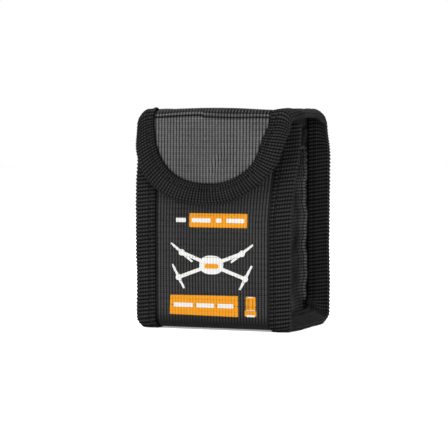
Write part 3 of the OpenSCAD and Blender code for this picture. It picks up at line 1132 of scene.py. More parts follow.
@dataclass
class Panels:
    """The cloth panels of the bag and the flap, and the lining behind them."""

    shop: Shop
    rib_step: float = 0.375
    row_step: float = 0.6
    edge_step: float = 1.0
    rib_height: float = 0.42
    weft_depth: float = 0.16
    crease_up: float = 0.5
    gusset_bow: float = 3.2
    gusset_extra: float = 2.0
    gusset_seat: float = 1.7
    gusset_low: float = 5.6
    gusset_tuck: float = 1.8
    coarse: float = 2.0
    edge_inset: float = 0.9
    lining_inset: float = 1.5
    pouch_inset: float = 0.6
    lining_gap: float = 0.02
    lining_rib: float = 0.06
    lining_weft: float = 0.03
    hinge_margin: float = 3.0
    tongue_share: float = 0.86
    gusset_columns: int = 150

    def columns(self, half: float, scale: float = 1.0) -> np.ndarray:
        """X stations: fine between the tapes and coarser under them.

        Args:
            half: half the panel's width.
            scale: how much coarser than the panels' own step.

        Returns:
            The stations.
        """
        inner = self.shop.cut.tape_x + 0.75
        middle = stations(-inner, inner, self.rib_step * scale)
        side = stations(inner, half, self.edge_step)[1:]
        return np.concatenate([-side[::-1], middle, side])

    def strip(self, name: str, cloth: Cloth, start: float, end: float, lift: float = 0.0,
              half: float | None = None, on_flap: bool = False, flip: bool = False) -> bpy.types.Object:
        """Makes a panel along the bag's outline.

        Args:
            name: the piece's name.
            cloth: its finish.
            start: where it starts on the outline.
            end: where it ends.
            lift: how far outside the cloth's outer face it lies.
            half: half its width.
            on_flap: True if it ends in the tongue.
            flip: True if its faces show to the inside.

        Returns:
            The ribbed sheet, not yet thickened.
        """
        shop, c, line = self.shop, self.shop.cut, self.shop.line
        half = c.half_width - self.edge_inset if half is None else half
        scale = self.coarse if cloth is Cloth.LINING else 1.0
        grid_x, grid_s = np.meshgrid(self.columns(half, scale), self.rows(start, end, scale))
        upper = (grid_s >= line.mark["back"]).astype(float)
        lifts = lift + self.crease(grid_x, grid_s) - self.tuck(grid_x, grid_s)
        straight = line.place(grid_x, grid_s, lifts)
        keep = None
        if on_flap:
            cx = (grid_x[1:, 1:] + grid_x[:-1, :-1]) / 2
            cz = (straight[1:, 1:, 2] + straight[:-1, :-1, 2]) / 2
            on_tongue = grid_s[1:, 1:] > line.mark["tongue"]
            keep = ~on_tongue | shop.tongue.holds(cx, cz, 0.3)
        # The relief also lightens or darkens the crests as painted light.
        relief_and_light = self.relief_and_light(grid_x, grid_s)
        points = shop.stance.settle(straight, upper)
        # The last factor of the weave is painted shade on the cloth.
        piece = Weave(points, grid_x, grid_s, relief_and_light, keep, flip, self.shade(grid_x, grid_s)).piece(name)
        if cloth is Cloth.LINING:
            shop.rib_cloth(piece, cloth, self.lining_rib, self.lining_weft)
        else:
            shop.rib_cloth(piece, cloth, self.rib_height, self.weft_depth)
        return piece

    def crease_line(self, x: np.ndarray) -> np.ndarray:
        """Where the thin crease across the front fold lies: its station on the outline at each x."""
        jog = 0.3 * np.tanh((x + 4.0) / 0.6) + 0.2 * np.sin(x / 6.0)
        return self.shop.line.mark["tongue"] - self.crease_up + jog

    def crease(self, x: np.ndarray, s: np.ndarray) -> np.ndarray:
        """How the pressed crease and the puckers of the tongue change the cloth's lift."""
        valley = np.exp(-((s - self.crease_line(x)) / 0.4) ** 2)
        return -0.45 * valley - 0.5 * self.pucker(x, s)

    def pucker(self, x: np.ndarray, s: np.ndarray) -> np.ndarray:
        """How strongly the tongue's cloth is puckered: a short slanting band low on the tongue.

        Args:
            x: how far across.
            s: stations on the outline.

        Returns:
            From 0 to 1 at each point.
        """
        down = s - self.shop.line.mark["tongue"]
        along = (down - 20.0) / 8.5
        middle = 3.2 - 5.2 * along
        return np.exp(-((x - middle) / 1.8) ** 2) * bump(along, 0.0, 1.25)

    def from_tape(self, x: np.ndarray, s: np.ndarray) -> np.ndarray:
        """About how far inside the tapes' inner edges a point of the cloth lies, in millimetres.

        Args:
            x: how far across.
            s: stations on the outline.

        Returns:
            The distance, less than 0 under a tape.
        """
        shop, c = self.shop, self.shop.cut
        below = np.maximum(s - shop.line.mark["tongue"], 0.0)
        half, depth, power = shop.tongue.sizes(1.0, x < 0)
        x = x + shop.tongue.pinch(below, x) * (below > 0)
        share = ((np.abs(x) / half) ** power + (below / depth) ** power) ** (1.0 / power)
        return np.where(below > 0, (1.0 - share) * half * 0.95, c.tape_x - np.abs(x))

    def tuck(self, x: np.ndarray, s: np.ndarray) -> np.ndarray:
        """How deep the cloth sinks where the tapes grip it."""
        return 0.35 * (1.0 - smooth(self.from_tape(x, s) / 1.3))

    def relief_and_light(self, x: np.ndarray, s: np.ndarray) -> np.ndarray:
        """How strongly the ribs stand out: flat under the tapes and the heel, strong over the flap's fold and
        in the puckers. The material also multiplies the crests' colour by it, as painted light over the fold
        and the puckers and painted shade round the heel.

        Args:
            x: how far across.
            s: stations on the outline.

        Returns:
            A factor on the ribs' height and on the crests' painted light.
        """
        c, line = self.shop.cut, self.shop.line
        flat = 1.0 - smooth((np.abs(x) - c.tape_x) / 1.0)
        top = smooth((s - line.mark["top"]) / 8.0) * (1.0 - smooth((s - self.crease_line(x) + 2.4) / 0.8))
        heel = 1.0 - 0.85 * bump(s, line.mark["front_heel"] + 4.0, 7.5)
        return flat * heel * (1.0 + 1.8 * top + 1.2 * self.pucker(x, s))

    def shade(self, x: np.ndarray, s: np.ndarray) -> np.ndarray:
        """Painted shade on the cloth: dark in the crease and the line above it, over the top, round the heel,
        along the tapes' inner edges and in the puckers.

        Args:
            x: how far across.
            s: stations on the outline.

        Returns:
            A factor on the colour of the crests, as painted shade.
        """
        line = self.shop.line
        crease = self.crease_line(x)
        valley = np.exp(-((s - crease) / 0.5) ** 2)
        second = np.exp(-((s - crease + 1.7) / 0.35) ** 2)
        top = smooth((s - line.mark["top"]) / 8.0) * (1.0 - smooth((s - crease + 2.2) / 0.8))
        heel = bump(s, line.mark["front_heel"] + 5.0, 9.0)
        # Painted shadow along the tapes' inner edges; the other terms paint shade in the crease, over the
        # top, round the heel and in the puckers.
        edge = 1.0 - smooth(self.from_tape(x, s) / 0.9)
        light = (1.0 - 0.97 * valley) * (1.0 - 0.9 * second) * (1.0 - 0.78 * top) * (1.0 - 0.3 * heel)
        return light * (1.0 - 0.9 * edge) * (1.0 - 0.4 * self.pucker(x, s))

    def rows(self, start: float, end: float, scale: float = 1.0) -> np.ndarray:
        """Stations along a strip, closer together over the front fold and at the back hinge.

        Args:
            start: the first station.
            end: the last station.
            scale: how much coarser than the panels' own step.

        Returns:
            The stations.
        """
        mark = self.shop.line.mark
        edges, steps = [start], []
        for low, high, fine in ((mark["back_fold"] - 2.0, mark["back_fold"] + 2.5, 0.25),
                                (mark["front_fold"] - 1.0, mark["tongue"] + 1.0, 0.16)):
            if start < low and high < end:
                edges += [low, high]
                steps += [self.row_step * scale, fine * scale]
        edges.append(end)
        steps.append(self.row_step * scale)
        parts = [stations(a, b, step)[:-1] for a, b, step in zip(edges, edges[1:], steps)]
        return np.concatenate(parts + [[end]])

    @staticmethod
    def flat_size(start: float, end: float, half: float) -> tuple[float, float]:
        """The cut size of a strip, in metres."""
        return (2 * half * MM, (end - start) * MM)

    def build(self) -> None:
        """Makes, dresses and declares every panel."""
        shop, c, line = self.shop, self.shop.cut, self.shop.line
        base_middle = (line.mark["base"] + line.mark["back_heel"]) / 2
        top_middle = line.top_middle
        tip = line.mark["tip"]
        half = c.half_width - self.edge_inset

        front = self.strip("front_cloth", Cloth.BODY, 0.0, base_middle)
        back = self.strip("back_cloth", Cloth.BODY, base_middle, top_middle)
        flap = self.strip("flap_cloth", Cloth.FLAP, top_middle, tip, on_flap=True)
        inside = -c.cloth - self.lining_gap - c.lining
        start = line.mark["back_fold"] - self.hinge_margin
        inner = c.gusset_x - self.pouch_inset
        lining_half = half - self.lining_inset
        pouch_lining = self.strip("pouch_lining", Cloth.LINING, 0.0, start, inside, inner, flip=True)
        top_lining = self.strip("top_lining_sheet", Cloth.LINING, start, top_middle, inside, lining_half,
                                flip=True)
        flap_lining = self.strip("flap_lining_sheet", Cloth.LINING, top_middle, tip, inside, lining_half,
                                 on_flap=True, flip=True)

        for piece, thickness, nodes, way in (
                (front, c.cloth, ("front_panel", "base_panel"), "bag"),
                (back, c.cloth, ("base_panel", "back_panel", "top_panel"), BACK_HINGE),
                (flap, c.cloth, ("top_panel", "flap_panel"), FRONT_HINGE),
                (pouch_lining, c.lining, ("front_lining", "base_lining", "back_lining"), "bag"),
                (top_lining, c.lining, ("top_lining", "back_lining"), BACK_HINGE),
                (flap_lining, c.lining, ("flap_lining", "top_lining"), FRONT_HINGE)):
            shop.thicken(piece, thickness)
            shop.declare(piece, nodes, way)

        for side in Side:
            self.gusset(side)

    def gusset_points(self, side: Side, v: np.ndarray, z: np.ndarray, inward: float = 0.0) -> np.ndarray:
        """Points on a gusset's outer face.

        Args:
            side: which gusset.
            v: from 0 at the front to 1 at the back.
            z: height in millimetres.
            inward: how far inside the outer face.

        Returns:
            The points where they stand, in millimetres.
        """
        shop, c = self.shop, self.shop.cut
        front = shop.line.front_face(z) + self.gusset_seat
        back = c.back_y - self.gusset_seat
        y = front + (back - front) * v
        hollow = np.sin(np.clip(v, 0, 1) * math.pi) ** 0.75
        extra = self.gusset_extra if side is Side.RIGHT else 0.8
        bow = self.gusset_bow * smooth((z - 6.0) / 22.0) + extra * smooth((z - 45.0) / 45.0)
        ripple = 0.35 * np.sin(z / 7.5 + 3.0 * v) + 0.25 * np.sin(z / 3.1 - 7.0 * v)
        edge = 2.6 * (1.0 - smooth(np.minimum(v, 1.0 - v) / 0.035))
        wave = 0.5 * np.sin(z / 3.9 + 1.0) + 0.3 * np.sin(z / 1.6)
        tuck = (self.gusset_tuck - wave) * smooth((v - 0.55) / 0.35)
        x = c.gusset_x - 0.9 - bow * hollow + ripple * hollow + edge - tuck - inward
        straight = np.stack([side.value * x, y, z], -1)
        return shop.stance.settle(straight)

    @staticmethod
    def gusset_painted_light(v: np.ndarray, z: np.ndarray) -> np.ndarray:
        """Painted light on a gusset: painted shade under the top, and painted glints in patches and along its
        back edge.

        Args:
            v: from 0 at the front to 1 at the back.
            z: height in millimetres.

        Returns:
            A factor on the colour of the crests, as painted light and shade.
        """
        patches = 0.5 + 0.5 * np.sin(z / 9.0 + 4.0 * v) * np.sin(z / 4.7 - 6.0 * v + 1.0)
        rim = smooth((v - 0.86) / 0.08) * (1.0 - smooth((v - 0.975) / 0.02))
        return (0.55 + 0.35 * patches + 0.8 * rim) * (1.0 - 0.7 * smooth((z - 62.0) / 26.0))

    def gusset(self, side: Side) -> None:
        """Makes one gusset with its lining and hem.

        Args:
            side: which gusset.
        """
        shop, c = self.shop, self.shop.cut
        word = side.name.lower()
        flip = side is Side.LEFT
        z = stations(self.gusset_low, c.gusset_top, self.row_step)
        v = stations(0.0, 1.0, 1.0 / self.gusset_columns)
        grid_v, grid_z = np.meshgrid(v, z)
        depth = c.back_y - c.front_y - 2 * self.gusset_seat
        # Painted shade under the top and painted glints on the gusset's cloth.
        shade = self.gusset_painted_light(grid_v, grid_z)
        cloth = Weave(self.gusset_points(side, grid_v, grid_z), grid_v * depth, grid_z, 0.9, flip=not flip,
                      shade=shade).piece(f"{word}_gusset_cloth")
        shop.rib_cloth(cloth, Cloth.GUSSET, self.rib_height, self.weft_depth)
        shop.thicken(cloth, c.cloth)
        inner = self.gusset_points(side, grid_v, grid_z, c.cloth + self.lining_gap + c.lining)
        lining = Weave(inner, grid_v * depth, grid_z, flip=flip).piece(f"{word}_gusset_lining")
        shop.rib_cloth(lining, Cloth.LINING, self.lining_rib, self.lining_weft)
        shop.thicken(lining, c.lining)
        shop.declare(cloth, [f"{word}_gusset"])
        shop.declare(lining, [f"{word}_lining"])
        self.hem(side)

    def hem(self, side: Side, height: float = 7.0, thickness: float = 0.6) -> None:
        """Makes the narrow hem folded over a gusset's mouth edge.

        Args:
            side: which gusset.
            height: how far down it reaches.
            thickness: thickness of the folded cloth.
        """
        shop, c, word = self.shop, self.shop.cut, side.name.lower()
        low = c.gusset_top - height
        stack = c.cloth + c.lining
        radius = stack / 2 + thickness
        outer = [(thickness, z) for z in np.linspace(low, c.gusset_top - 0.2, 14)]
        turn = [(-stack / 2 + radius * math.cos(t), c.gusset_top - 0.2 + 0.7 * radius * math.sin(t))
                for t in np.linspace(0, math.pi, 9)[1:-1]]
        inner = [(-stack - thickness, z) for z in np.linspace(c.gusset_top - 0.2, low + 0.6, 14)]
        path = np.array(outer + turn + inner)
        v = stations(0.0, 1.0, 1.0 / self.gusset_columns)
        grid_v, grid_k = np.meshgrid(v, np.arange(len(path)))
        out, z = path[grid_k, 0], path[grid_k, 1]
        way = distances(path)[grid_k]
        depth = c.back_y - c.front_y - 2 * self.gusset_seat
        points = self.gusset_points(side, grid_v, z, -out)
        # The hem is painted dark as shade under the top tape.
        fold = Weave(points, grid_v * depth, way, 0.8, flip=side is Side.RIGHT, shade=0.28)
        piece = fold.piece(f"{word}_gusset_hem_fold")
        shop.rib_cloth(piece, Cloth.BODY, 0.3, 0.1)
        shop.thicken(piece, thickness)
        shop.declare(piece, [f"{word}_gusset_hem"])


@dataclass
class Bindings:
    """The ribbed tapes folded over the edges of the bag, the mouth and the flap, and their stitching."""

    shop: Shop
    step: float = 0.36
    stack: float = 1.6
    puff: float = 0.45
    channel_depth: float = 0.32
    rib_height: float = 0.55
    bump_depth: float = 0.2
    base_rise: float = 6.0
    corner_reach: float = 3.6
    tongue_pitch: float = 1.18
    side_gap: float = 2.7
    split_z: float = 60.0
    rib_slant: float = 0.12
    lip_rise: float = 1.1
    lip_reach: float = 4.5
    waver: float = 0.9
    seam_step: float = 0.5
    seam_margin: float = 1.2
    thread_sink: float = 0.12
    # The factor below is a painted highlight on the lifted lip.
    lip_light: float = 1.6

    def outer_leg(self) -> tuple[np.ndarray, np.ndarray]:
        """The tape's outer leg: its share across, from 1 at the inner edge, and its lift.

        Returns:
            The share and the lift at each point of the leg.
        """
        c = self.shop.cut
        across = np.linspace(0.0, c.tape_width - 1.5, 22)
        channel = -self.channel_depth * np.exp(-((across - c.seam_inset) / 0.55) ** 2)
        rise = self.puff * np.sin(np.clip((across - 1.0) / (c.tape_width - 2.0), 0, 1) * math.pi) ** 0.8
        edge = -0.45 * (1.0 - smooth(across / 0.8))
        return 1.0 - across / c.tape_width, c.tape + channel + rise + edge

    def section(self) -> tuple[np.ndarray, np.ndarray, np.ndarray]:
        """The folded tape's section.

        Returns:
            For each point, its share across the tape's width from the outer edge, its lift from the cloth's
            outer face, and how far along the inner leg it is, from 0 to 1.
        """
        c = self.shop.cut
        share, lift = self.outer_leg()
        radius = self.stack / 2 + c.tape
        angle = np.linspace(90, -90, 9)[1:-1]
        turn_share = (1.5 - 1.5 * np.cos(np.radians(angle))) / c.tape_width
        turn_lift = -self.stack / 2 + radius * np.sin(np.radians(angle))
        inner = np.linspace(1.5, c.tape_width + 0.5, 16)
        inner_lift = np.full_like(inner, -self.stack - c.tape)
        depth = (inner - inner[0]) / (inner[-1] - inner[0])
        return (np.concatenate([share, turn_share, inner / c.tape_width]),
                np.concatenate([lift, turn_lift, inner_lift]),
                np.concatenate([0 * share, 0 * turn_share, depth]))

    @staticmethod
    def across(points: np.ndarray) -> np.ndarray:
        """The way across a strip of points, measured in its middle row."""
        return distances(points[len(points) // 2])

    def inner_offset(self, s: np.ndarray) -> tuple[np.ndarray, np.ndarray]:
        """From the outline to the inner edge of the tape's inner leg, in y and z.

        Along the base that edge climbs the gusset, and elsewhere it stays close behind the cloth.

        Args:
            s: stations on the outline.

        Returns:
            The y and the z of the offset at each station.
        """
        mark = self.shop.line.mark
        front = smooth((s - mark["front_heel"] + 9.0) / (mark["base"] - mark["front_heel"] + 13.0))
        back = smooth((s - mark["back_heel"] + 4.0) / (mark["back"] - mark["back_heel"] + 13.0))
        top = smooth((s - mark["back_fold"]) / (mark["top"] - mark["back_fold"]))
        angle = (front + back + top) * math.pi / 2
        reach = self.side_gap + (self.base_rise - self.side_gap) * (front - back)
        reach = reach + (self.stack + self.shop.cut.tape - self.side_gap) * top
        reach = reach + self.corner_reach * 4 * (front * (1 - front) + back * (1 - back))
        return reach * np.cos(angle), reach * np.sin(angle)

    def split_station(self) -> float:
        """Where a side's tape and stitches are cut in two, on the back below the hinge."""
        c = self.shop.cut
        return self.shop.line.mark["back"] + self.split_z - c.base_z - c.base_fold

    def edge_strip(self, side: Side) -> None:
        """Makes the tape that runs from the mouth round the base and up the back to the middle of the top.

        It is made in two lengths, split on the back below the hinge.

        Args:
            side: which side of the bag.
        """
        shop, c, line = self.shop, self.shop.cut, self.shop.line
        share, lift, depth = self.section()
        low = stations(0.0, self.split_station(), self.step)
        high = stations(self.split_station(), line.top_middle, self.step)
        grid_j, grid_s = np.meshgrid(np.arange(len(share)), np.concatenate([low, high[1:]]))
        x = side.value * (c.half_width - share[grid_j] * c.tape_width)
        ny, nz = line.normal(grid_s)
        iy, iz = self.inner_offset(grid_s)
        blend = smooth(depth[grid_j])
        lifts = lift[grid_j] + self.wander(grid_s, share[grid_j])
        off_y = ny * lifts * (1 - blend) + iy * blend
        off_z = nz * lifts * (1 - blend) + iz * blend
        straight = line.place(x, grid_s) + np.stack([0 * x, off_y, off_z], -1)
        points = shop.stance.settle(straight, (grid_s >= line.mark["back"]).astype(float))
        across = np.broadcast_to(self.across(points), grid_s.shape)
        # Painted shade and painted light across the tape's section.
        shade = self.section_painted_light(share, depth)[grid_j]
        ribs = grid_s + self.rib_slant * across * side.value
        word = side.name.lower()
        below, above = slice(0, len(low)), slice(len(low) - 1, None)
        for part, rows, nodes, way in (("edge", below, ["edge_tape"], "bag"),
                                       ("back", above, ["edge_tape", "top_tape"], BACK_HINGE)):
            strip = Weave(points[rows], ribs[rows], across[rows], flip=side is Side.LEFT, shade=shade[rows])
            piece = strip.piece(f"{word}_{part}_binding")
            shop.rib_cloth(piece, Cloth.TAPE, self.rib_height, self.bump_depth, self.waver)
            shop.thicken(piece, c.tape)
            shop.declare(piece, [f"{word}_{node}" for node in nodes], way)

    def section_painted_light(self, share: np.ndarray, depth: np.ndarray) -> np.ndarray:
        """Painted light across the tape's section: painted shade on its inner edge and in the stitched
        channel, and lighter on the inner leg as painted light.

        Args:
            share: across the tape's width, from the outer edge.
            depth: how far along the inner leg.

        Returns:
            A factor on the colour of the crests, as painted light and shade.
        """
        c = self.shop.cut
        inward = (1.0 - share) * c.tape_width
        edge = 0.25 + 0.75 * smooth(inward / 1.1)
        channel = 1.0 - 0.45 * np.exp(-((inward - c.seam_inset) / 0.6) ** 2)
        return edge * channel * (1.0 + 0.25 * (depth > 0))

    def wander(self, way: np.ndarray, share: np.ndarray) -> np.ndarray:
        """Small unevenness of a tape sewn by hand, as a change of lift."""
        return 0.12 * np.sin(way / 4.3 + 5.0 * share) + 0.08 * np.sin(way / 1.9 - 3.0 * share)

    def flap_path(self) -> tuple[np.ndarray, np.ndarray]:
        """Stations of the flap's tape: the outline station on each side strip, and the tongue's angle.

        Returns:
            Two arrays, of which the first is NaN on the tongue and the second is NaN on the side strips.
        """
        line = self.shop.line
        middle = line.top_middle
        down = stations(middle, line.mark["tongue"], self.step)[:-1]
        fine = np.linspace(0.0, math.pi, 4001)
        curve = self.shop.tongue.outline(0.35, fine)
        length = distances(curve)
        turn = np.interp(stations(0.0, length[-1], self.step), length, fine)
        s = np.concatenate([down, np.full(len(turn), np.nan), down[::-1]])
        t = np.concatenate([np.full(len(down), np.nan), turn, np.full(len(down), np.nan)])
        return s, t

    def flap_outline(self, s: np.ndarray, t: np.ndarray, share: np.ndarray) -> tuple[np.ndarray, np.ndarray]:
        """X and the outline station of points on the flap's tape.

        Args:
            s: stations on the side strips, NaN on the tongue.
            t: angles on the tongue, NaN on the side strips.
            share: from 0 on the tape's outer edge to 1 on its inner edge.

        Returns:
            X and the station, with a row for each station and a column for each share.
        """
        c, line = self.shop.cut, self.shop.line
        first = int(np.argmax(~np.isnan(t)))
        side = np.where(np.arange(len(s)) < first, 1.0, -1.0)
        x = np.empty((len(s), len(share)))
        where = np.empty_like(x)
        for j, q in enumerate(share):
            on_tongue = ~np.isnan(t)
            curve = self.shop.tongue.outline(float(q), t[on_tongue])
            x[on_tongue, j] = curve[:, 0]
            where[on_tongue, j] = line.mark["tongue"] + (c.tongue_top - curve[:, 1])
            x[~on_tongue, j] = side[~on_tongue] * (c.half_width - q * c.tape_width)
            where[~on_tongue, j] = s[~on_tongue]
        return x, where

    def flap_strip(self) -> None:
        """Makes the tape round the front half of the top and the tongue."""
        shop, c = self.shop, self.shop.cut
        share, lift, depth = self.section()
        s, t = self.flap_path()
        x, where = self.flap_outline(s, t, share)
        way = np.broadcast_to((np.arange(len(s)) * self.step)[:, None], x.shape)
        lifts = lift[None, :] + self.wander(way, share[None, :])
        line = shop.line
        lip = self.lip(x, where, share[None, :] * (depth[None, :] == 0))
        points = self.beyond(x, where, lifts + self.lip_rise * lip, line)
        points = shop.stance.settle(points, 1.0)
        across = np.broadcast_to(self.across(points), x.shape)
        ribs = way * self.tongue_pitch + self.rib_slant * across
        # Painted shade across the tape's section, with a painted highlight on the lifted lip.
        shade = self.section_painted_light(share, depth)[None, :] + self.lip_light * lip
        piece = Weave(points, ribs, across, 1.0, shade=shade).piece("flap_binding")
        shop.rib_cloth(piece, Cloth.TAPE, self.rib_height, self.bump_depth, self.waver)
        shop.thicken(piece, c.tape)
        shop.declare(piece, ["left_top_tape", "right_top_tape", "flap_edge_tape"], FRONT_HINGE)

    def lip(self, x: np.ndarray, where: np.ndarray, share: np.ndarray) -> np.ndarray:
        """Where the tape's inner edge stands up off the top, at its left front corner, from 0 to 1."""
        along = bump(where, self.shop.line.mark["front_fold"] - 0.5, self.lip_reach)
        return along * smooth((share - 0.78) / 0.2) * (x < 0)

    @staticmethod
    def beyond(x: np.ndarray, where: np.ndarray, lifts: np.ndarray, line: Profile) -> np.ndarray:
        """Points on the outline, carried straight on past the tongue's tip.

        Args:
            x: how far across.
            where: stations on the outline.
            lifts: how far outside the cloth's outer face.
            line: the outline.

        Returns:
            The points, in millimetres.
        """
        points = line.place(x, where, lifts)
        points[..., 2] -= np.maximum(where - line.s[-1], 0.0)
        return points

    def mouth_strip(self) -> None:
        """Makes the tape folded over the front's mouth edge."""
        shop, c = self.shop, self.shop.cut
        low, high = mm_box("mouth_tape")
        radius = (c.cloth + c.lining) / 2 + c.tape
        top = high.z - radius
        outer = [(c.tape, z) for z in np.linspace(low.z, top, 20)]
        turn = [(c.tape - radius + radius * math.cos(a), top + radius * math.sin(a))
                for a in np.linspace(0, math.pi, 9)[1:-1]]
        inner = [(c.tape - 2 * radius, z) for z in np.linspace(top, low.z + 0.8, 16)]
        path = np.array(outer + turn + inner)
        x = stations(low.x - 1.6, high.x + 1.6, self.step)
        grid_k, grid_x = np.meshgrid(np.arange(len(path)), x)
        lift, z = path[grid_k, 0], path[grid_k, 1]
        across = distances(path)[grid_k]
        y = shop.line.front_face(z) - lift + self.wander(grid_x, z / 10.0)
        points = shop.stance.settle(np.stack([grid_x, y, z], -1))
        piece = Weave(points, grid_x + self.rib_slant * across, across).piece("mouth_binding")
        shop.rib_cloth(piece, Cloth.TAPE, self.rib_height, self.bump_depth, self.waver)
        shop.thicken(piece, c.tape)
        shop.declare(piece, ["mouth_tape"])

    def stitch(self) -> None:
        """Sews the tapes down."""
        shop, c, line = self.shop, self.shop.cut, self.shop.line
        q = 1.0 - c.seam_inset / c.tape_width
        seat = c.tape - self.thread_sink
        split, middle = self.split_station(), line.top_middle
        for side in Side:
            x = side.value * (c.half_width - q * c.tape_width)
            word = side.name.lower()
            runs = (("edge", 1.0, split - self.seam_margin, [], "bag"),
                    ("back", split + self.seam_margin, middle, ["top_tape_stitching"], BACK_HINGE))
            for part, start, end, more, way in runs:
                s = stations(start, end, self.seam_step)
                upper = (s >= line.mark["back"]).astype(float)
                low, high = (shop.stance.settle(line.place(x, s, seat + up), upper) for up in (0.0, 1.0))
                row = shop.seam(f"{word}_{part}_stitches", low, high)
                shop.declare(row, [f"{word}_edge_stitching", *more], way)
        s, t = self.flap_path()
        x, where = self.flap_outline(s, t, np.array([q]))
        low, high = (shop.stance.settle(self.beyond(x, where, np.full_like(x, seat + up), line)[:, 0], 1.0)
                     for up in (0.0, 1.0))
        row = shop.seam("flap_edge_stitches", low, high)
        shop.declare(row, ["flap_edge_stitching", "top_tape_stitching"], FRONT_HINGE)
        mouth_low, mouth_high = mm_box("mouth_stitching")
        x = stations(mouth_low.x, mouth_high.x, self.seam_step)
        z = np.full_like(x, (mouth_low.z + mouth_high.z) / 2)
        low, high = (shop.stance.settle(np.stack([x, line.front_face(z) - c.tape - up, z], -1))
                     for up in (0.05, 1.05))
        row = shop.seam("mouth_stitches", low, high)
        shop.declare(row, ["mouth_stitching"])

    def stitch_hems(self, panels: Panels) -> None:
        """Sews down the hems of the gussets.

        Args:
            panels: the panels, which know where the gussets lie.
        """
        shop = self.shop
        box_low, box_high = mm_box("gusset_hem_stitching")
        v = stations(0.06, 0.94, 0.01)
        z = np.full_like(v, (box_low.z + box_high.z) / 2)
        rows = []
        for side in Side:
            low, high = (panels.gusset_points(side, v, z, -up) for up in (0.72, 1.72))
            rows.append(shop.seam(f"hem_stitches_{side.name.lower()}", low, high))
        row = shop.join("gusset_hem_stitches", rows)
        shop.declare(row, ["gusset_hem_stitching"])


class Touch(Enum):
    """The two halves of the touch fastener."""

    LOOP = "loop"
    HOOK = "hook"


@dataclass
class Closure:
    """The touch fastener: a loop patch on the front and a hook patch inside the tongue."""

    shop: Shop
    step: float = 0.5
    pad: float = 1.0
    spacing: float = 0.85
    radius: float = 0.28
    inset: float = 1.0

    def patch(self, touch: Touch) -> None:
        """Makes one patch and sews it on.

        Args:
            touch: which half.
        """
        shop = self.shop
        low, high = mm_box(f"{touch.value}_patch")
        x, z = stations(low.x, high.x, self.step), stations(high.z, low.z, self.step)
        grid_x, grid_z = np.meshgrid(x, z)
        rim = np.minimum.reduce([grid_x - low.x, high.x - grid_x, grid_z - low.z, high.z - grid_z])
        rise = self.pad * (0.25 + 0.75 * smooth(rim / 0.8)) * (rim > 0.01)
        points = self.on_cloth(touch, grid_x, grid_z, rise)
        looped = touch is Touch.LOOP
        piece = Weave(points, grid_x, grid_z, 0.0, flip=not looped).piece(f"{touch.value}_pad")
        facts = (Cloth.LOOPS, 0.05, 4.3, 0.5) if looped else (Cloth.HOOKS, 0.08, 3.7, 0.12)
        cloth, wire, sweep, tumble = facts
        shop.grow(piece, shop.pile, cloth, Spacing=self.spacing * MM, Radius=self.radius * MM, Wire=wire * MM,
                  Sweep=sweep, Tumble=tumble, Seed=7)
        left, right = low.x + self.inset, high.x - self.inset
        bottom, top = low.z + self.inset, high.z - self.inset
        corners = np.array([(left, top), (right, top), (right, bottom), (left, bottom), (left, top)])
        run = np.concatenate([np.linspace(a, b, 40)[:-1] for a, b in zip(corners, corners[1:])])
        seat, above = (self.on_cloth(touch, run[:, 0], run[:, 1], np.full(len(run), self.pad + up))
                       for up in (0.1, 1.1))
        row = shop.seam(f"{touch.value}_patch_stitches", seat, above, 2.2, 1.5, 0.4)
        body = "bag" if looped else "flap_front"
        shop.declare(piece, [f"{touch.value}_patch"], body)
        shop.declare(row, [f"{touch.value}_patch_stitching"], body)

    def on_cloth(self, touch: Touch, x: np.ndarray, z: np.ndarray, rise: np.ndarray) -> np.ndarray:
        """Points a distance off the cloth that a patch is sewn to.

        Args:
            touch: which half.
            x: how far across.
            z: height in millimetres.
            rise: the distance.

        Returns:
            The points where they stand, in millimetres.
        """
        shop, c, line = self.shop, self.shop.cut, self.shop.line
        if touch is Touch.LOOP:
            return shop.stance.settle(line.place(x, line.front_station(z), rise))
        inner = c.cloth + c.lining + rise
        return shop.stance.settle(np.stack([x, c.flap_y + inner, z], -1), 1.0)

    def build(self) -> None:
        """Makes both patches."""
        for touch in Touch:
            self.patch(touch)


Shape = Callable[[np.ndarray, np.ndarray], np.ndarray]
Spans = tuple[tuple[float, float], ...]


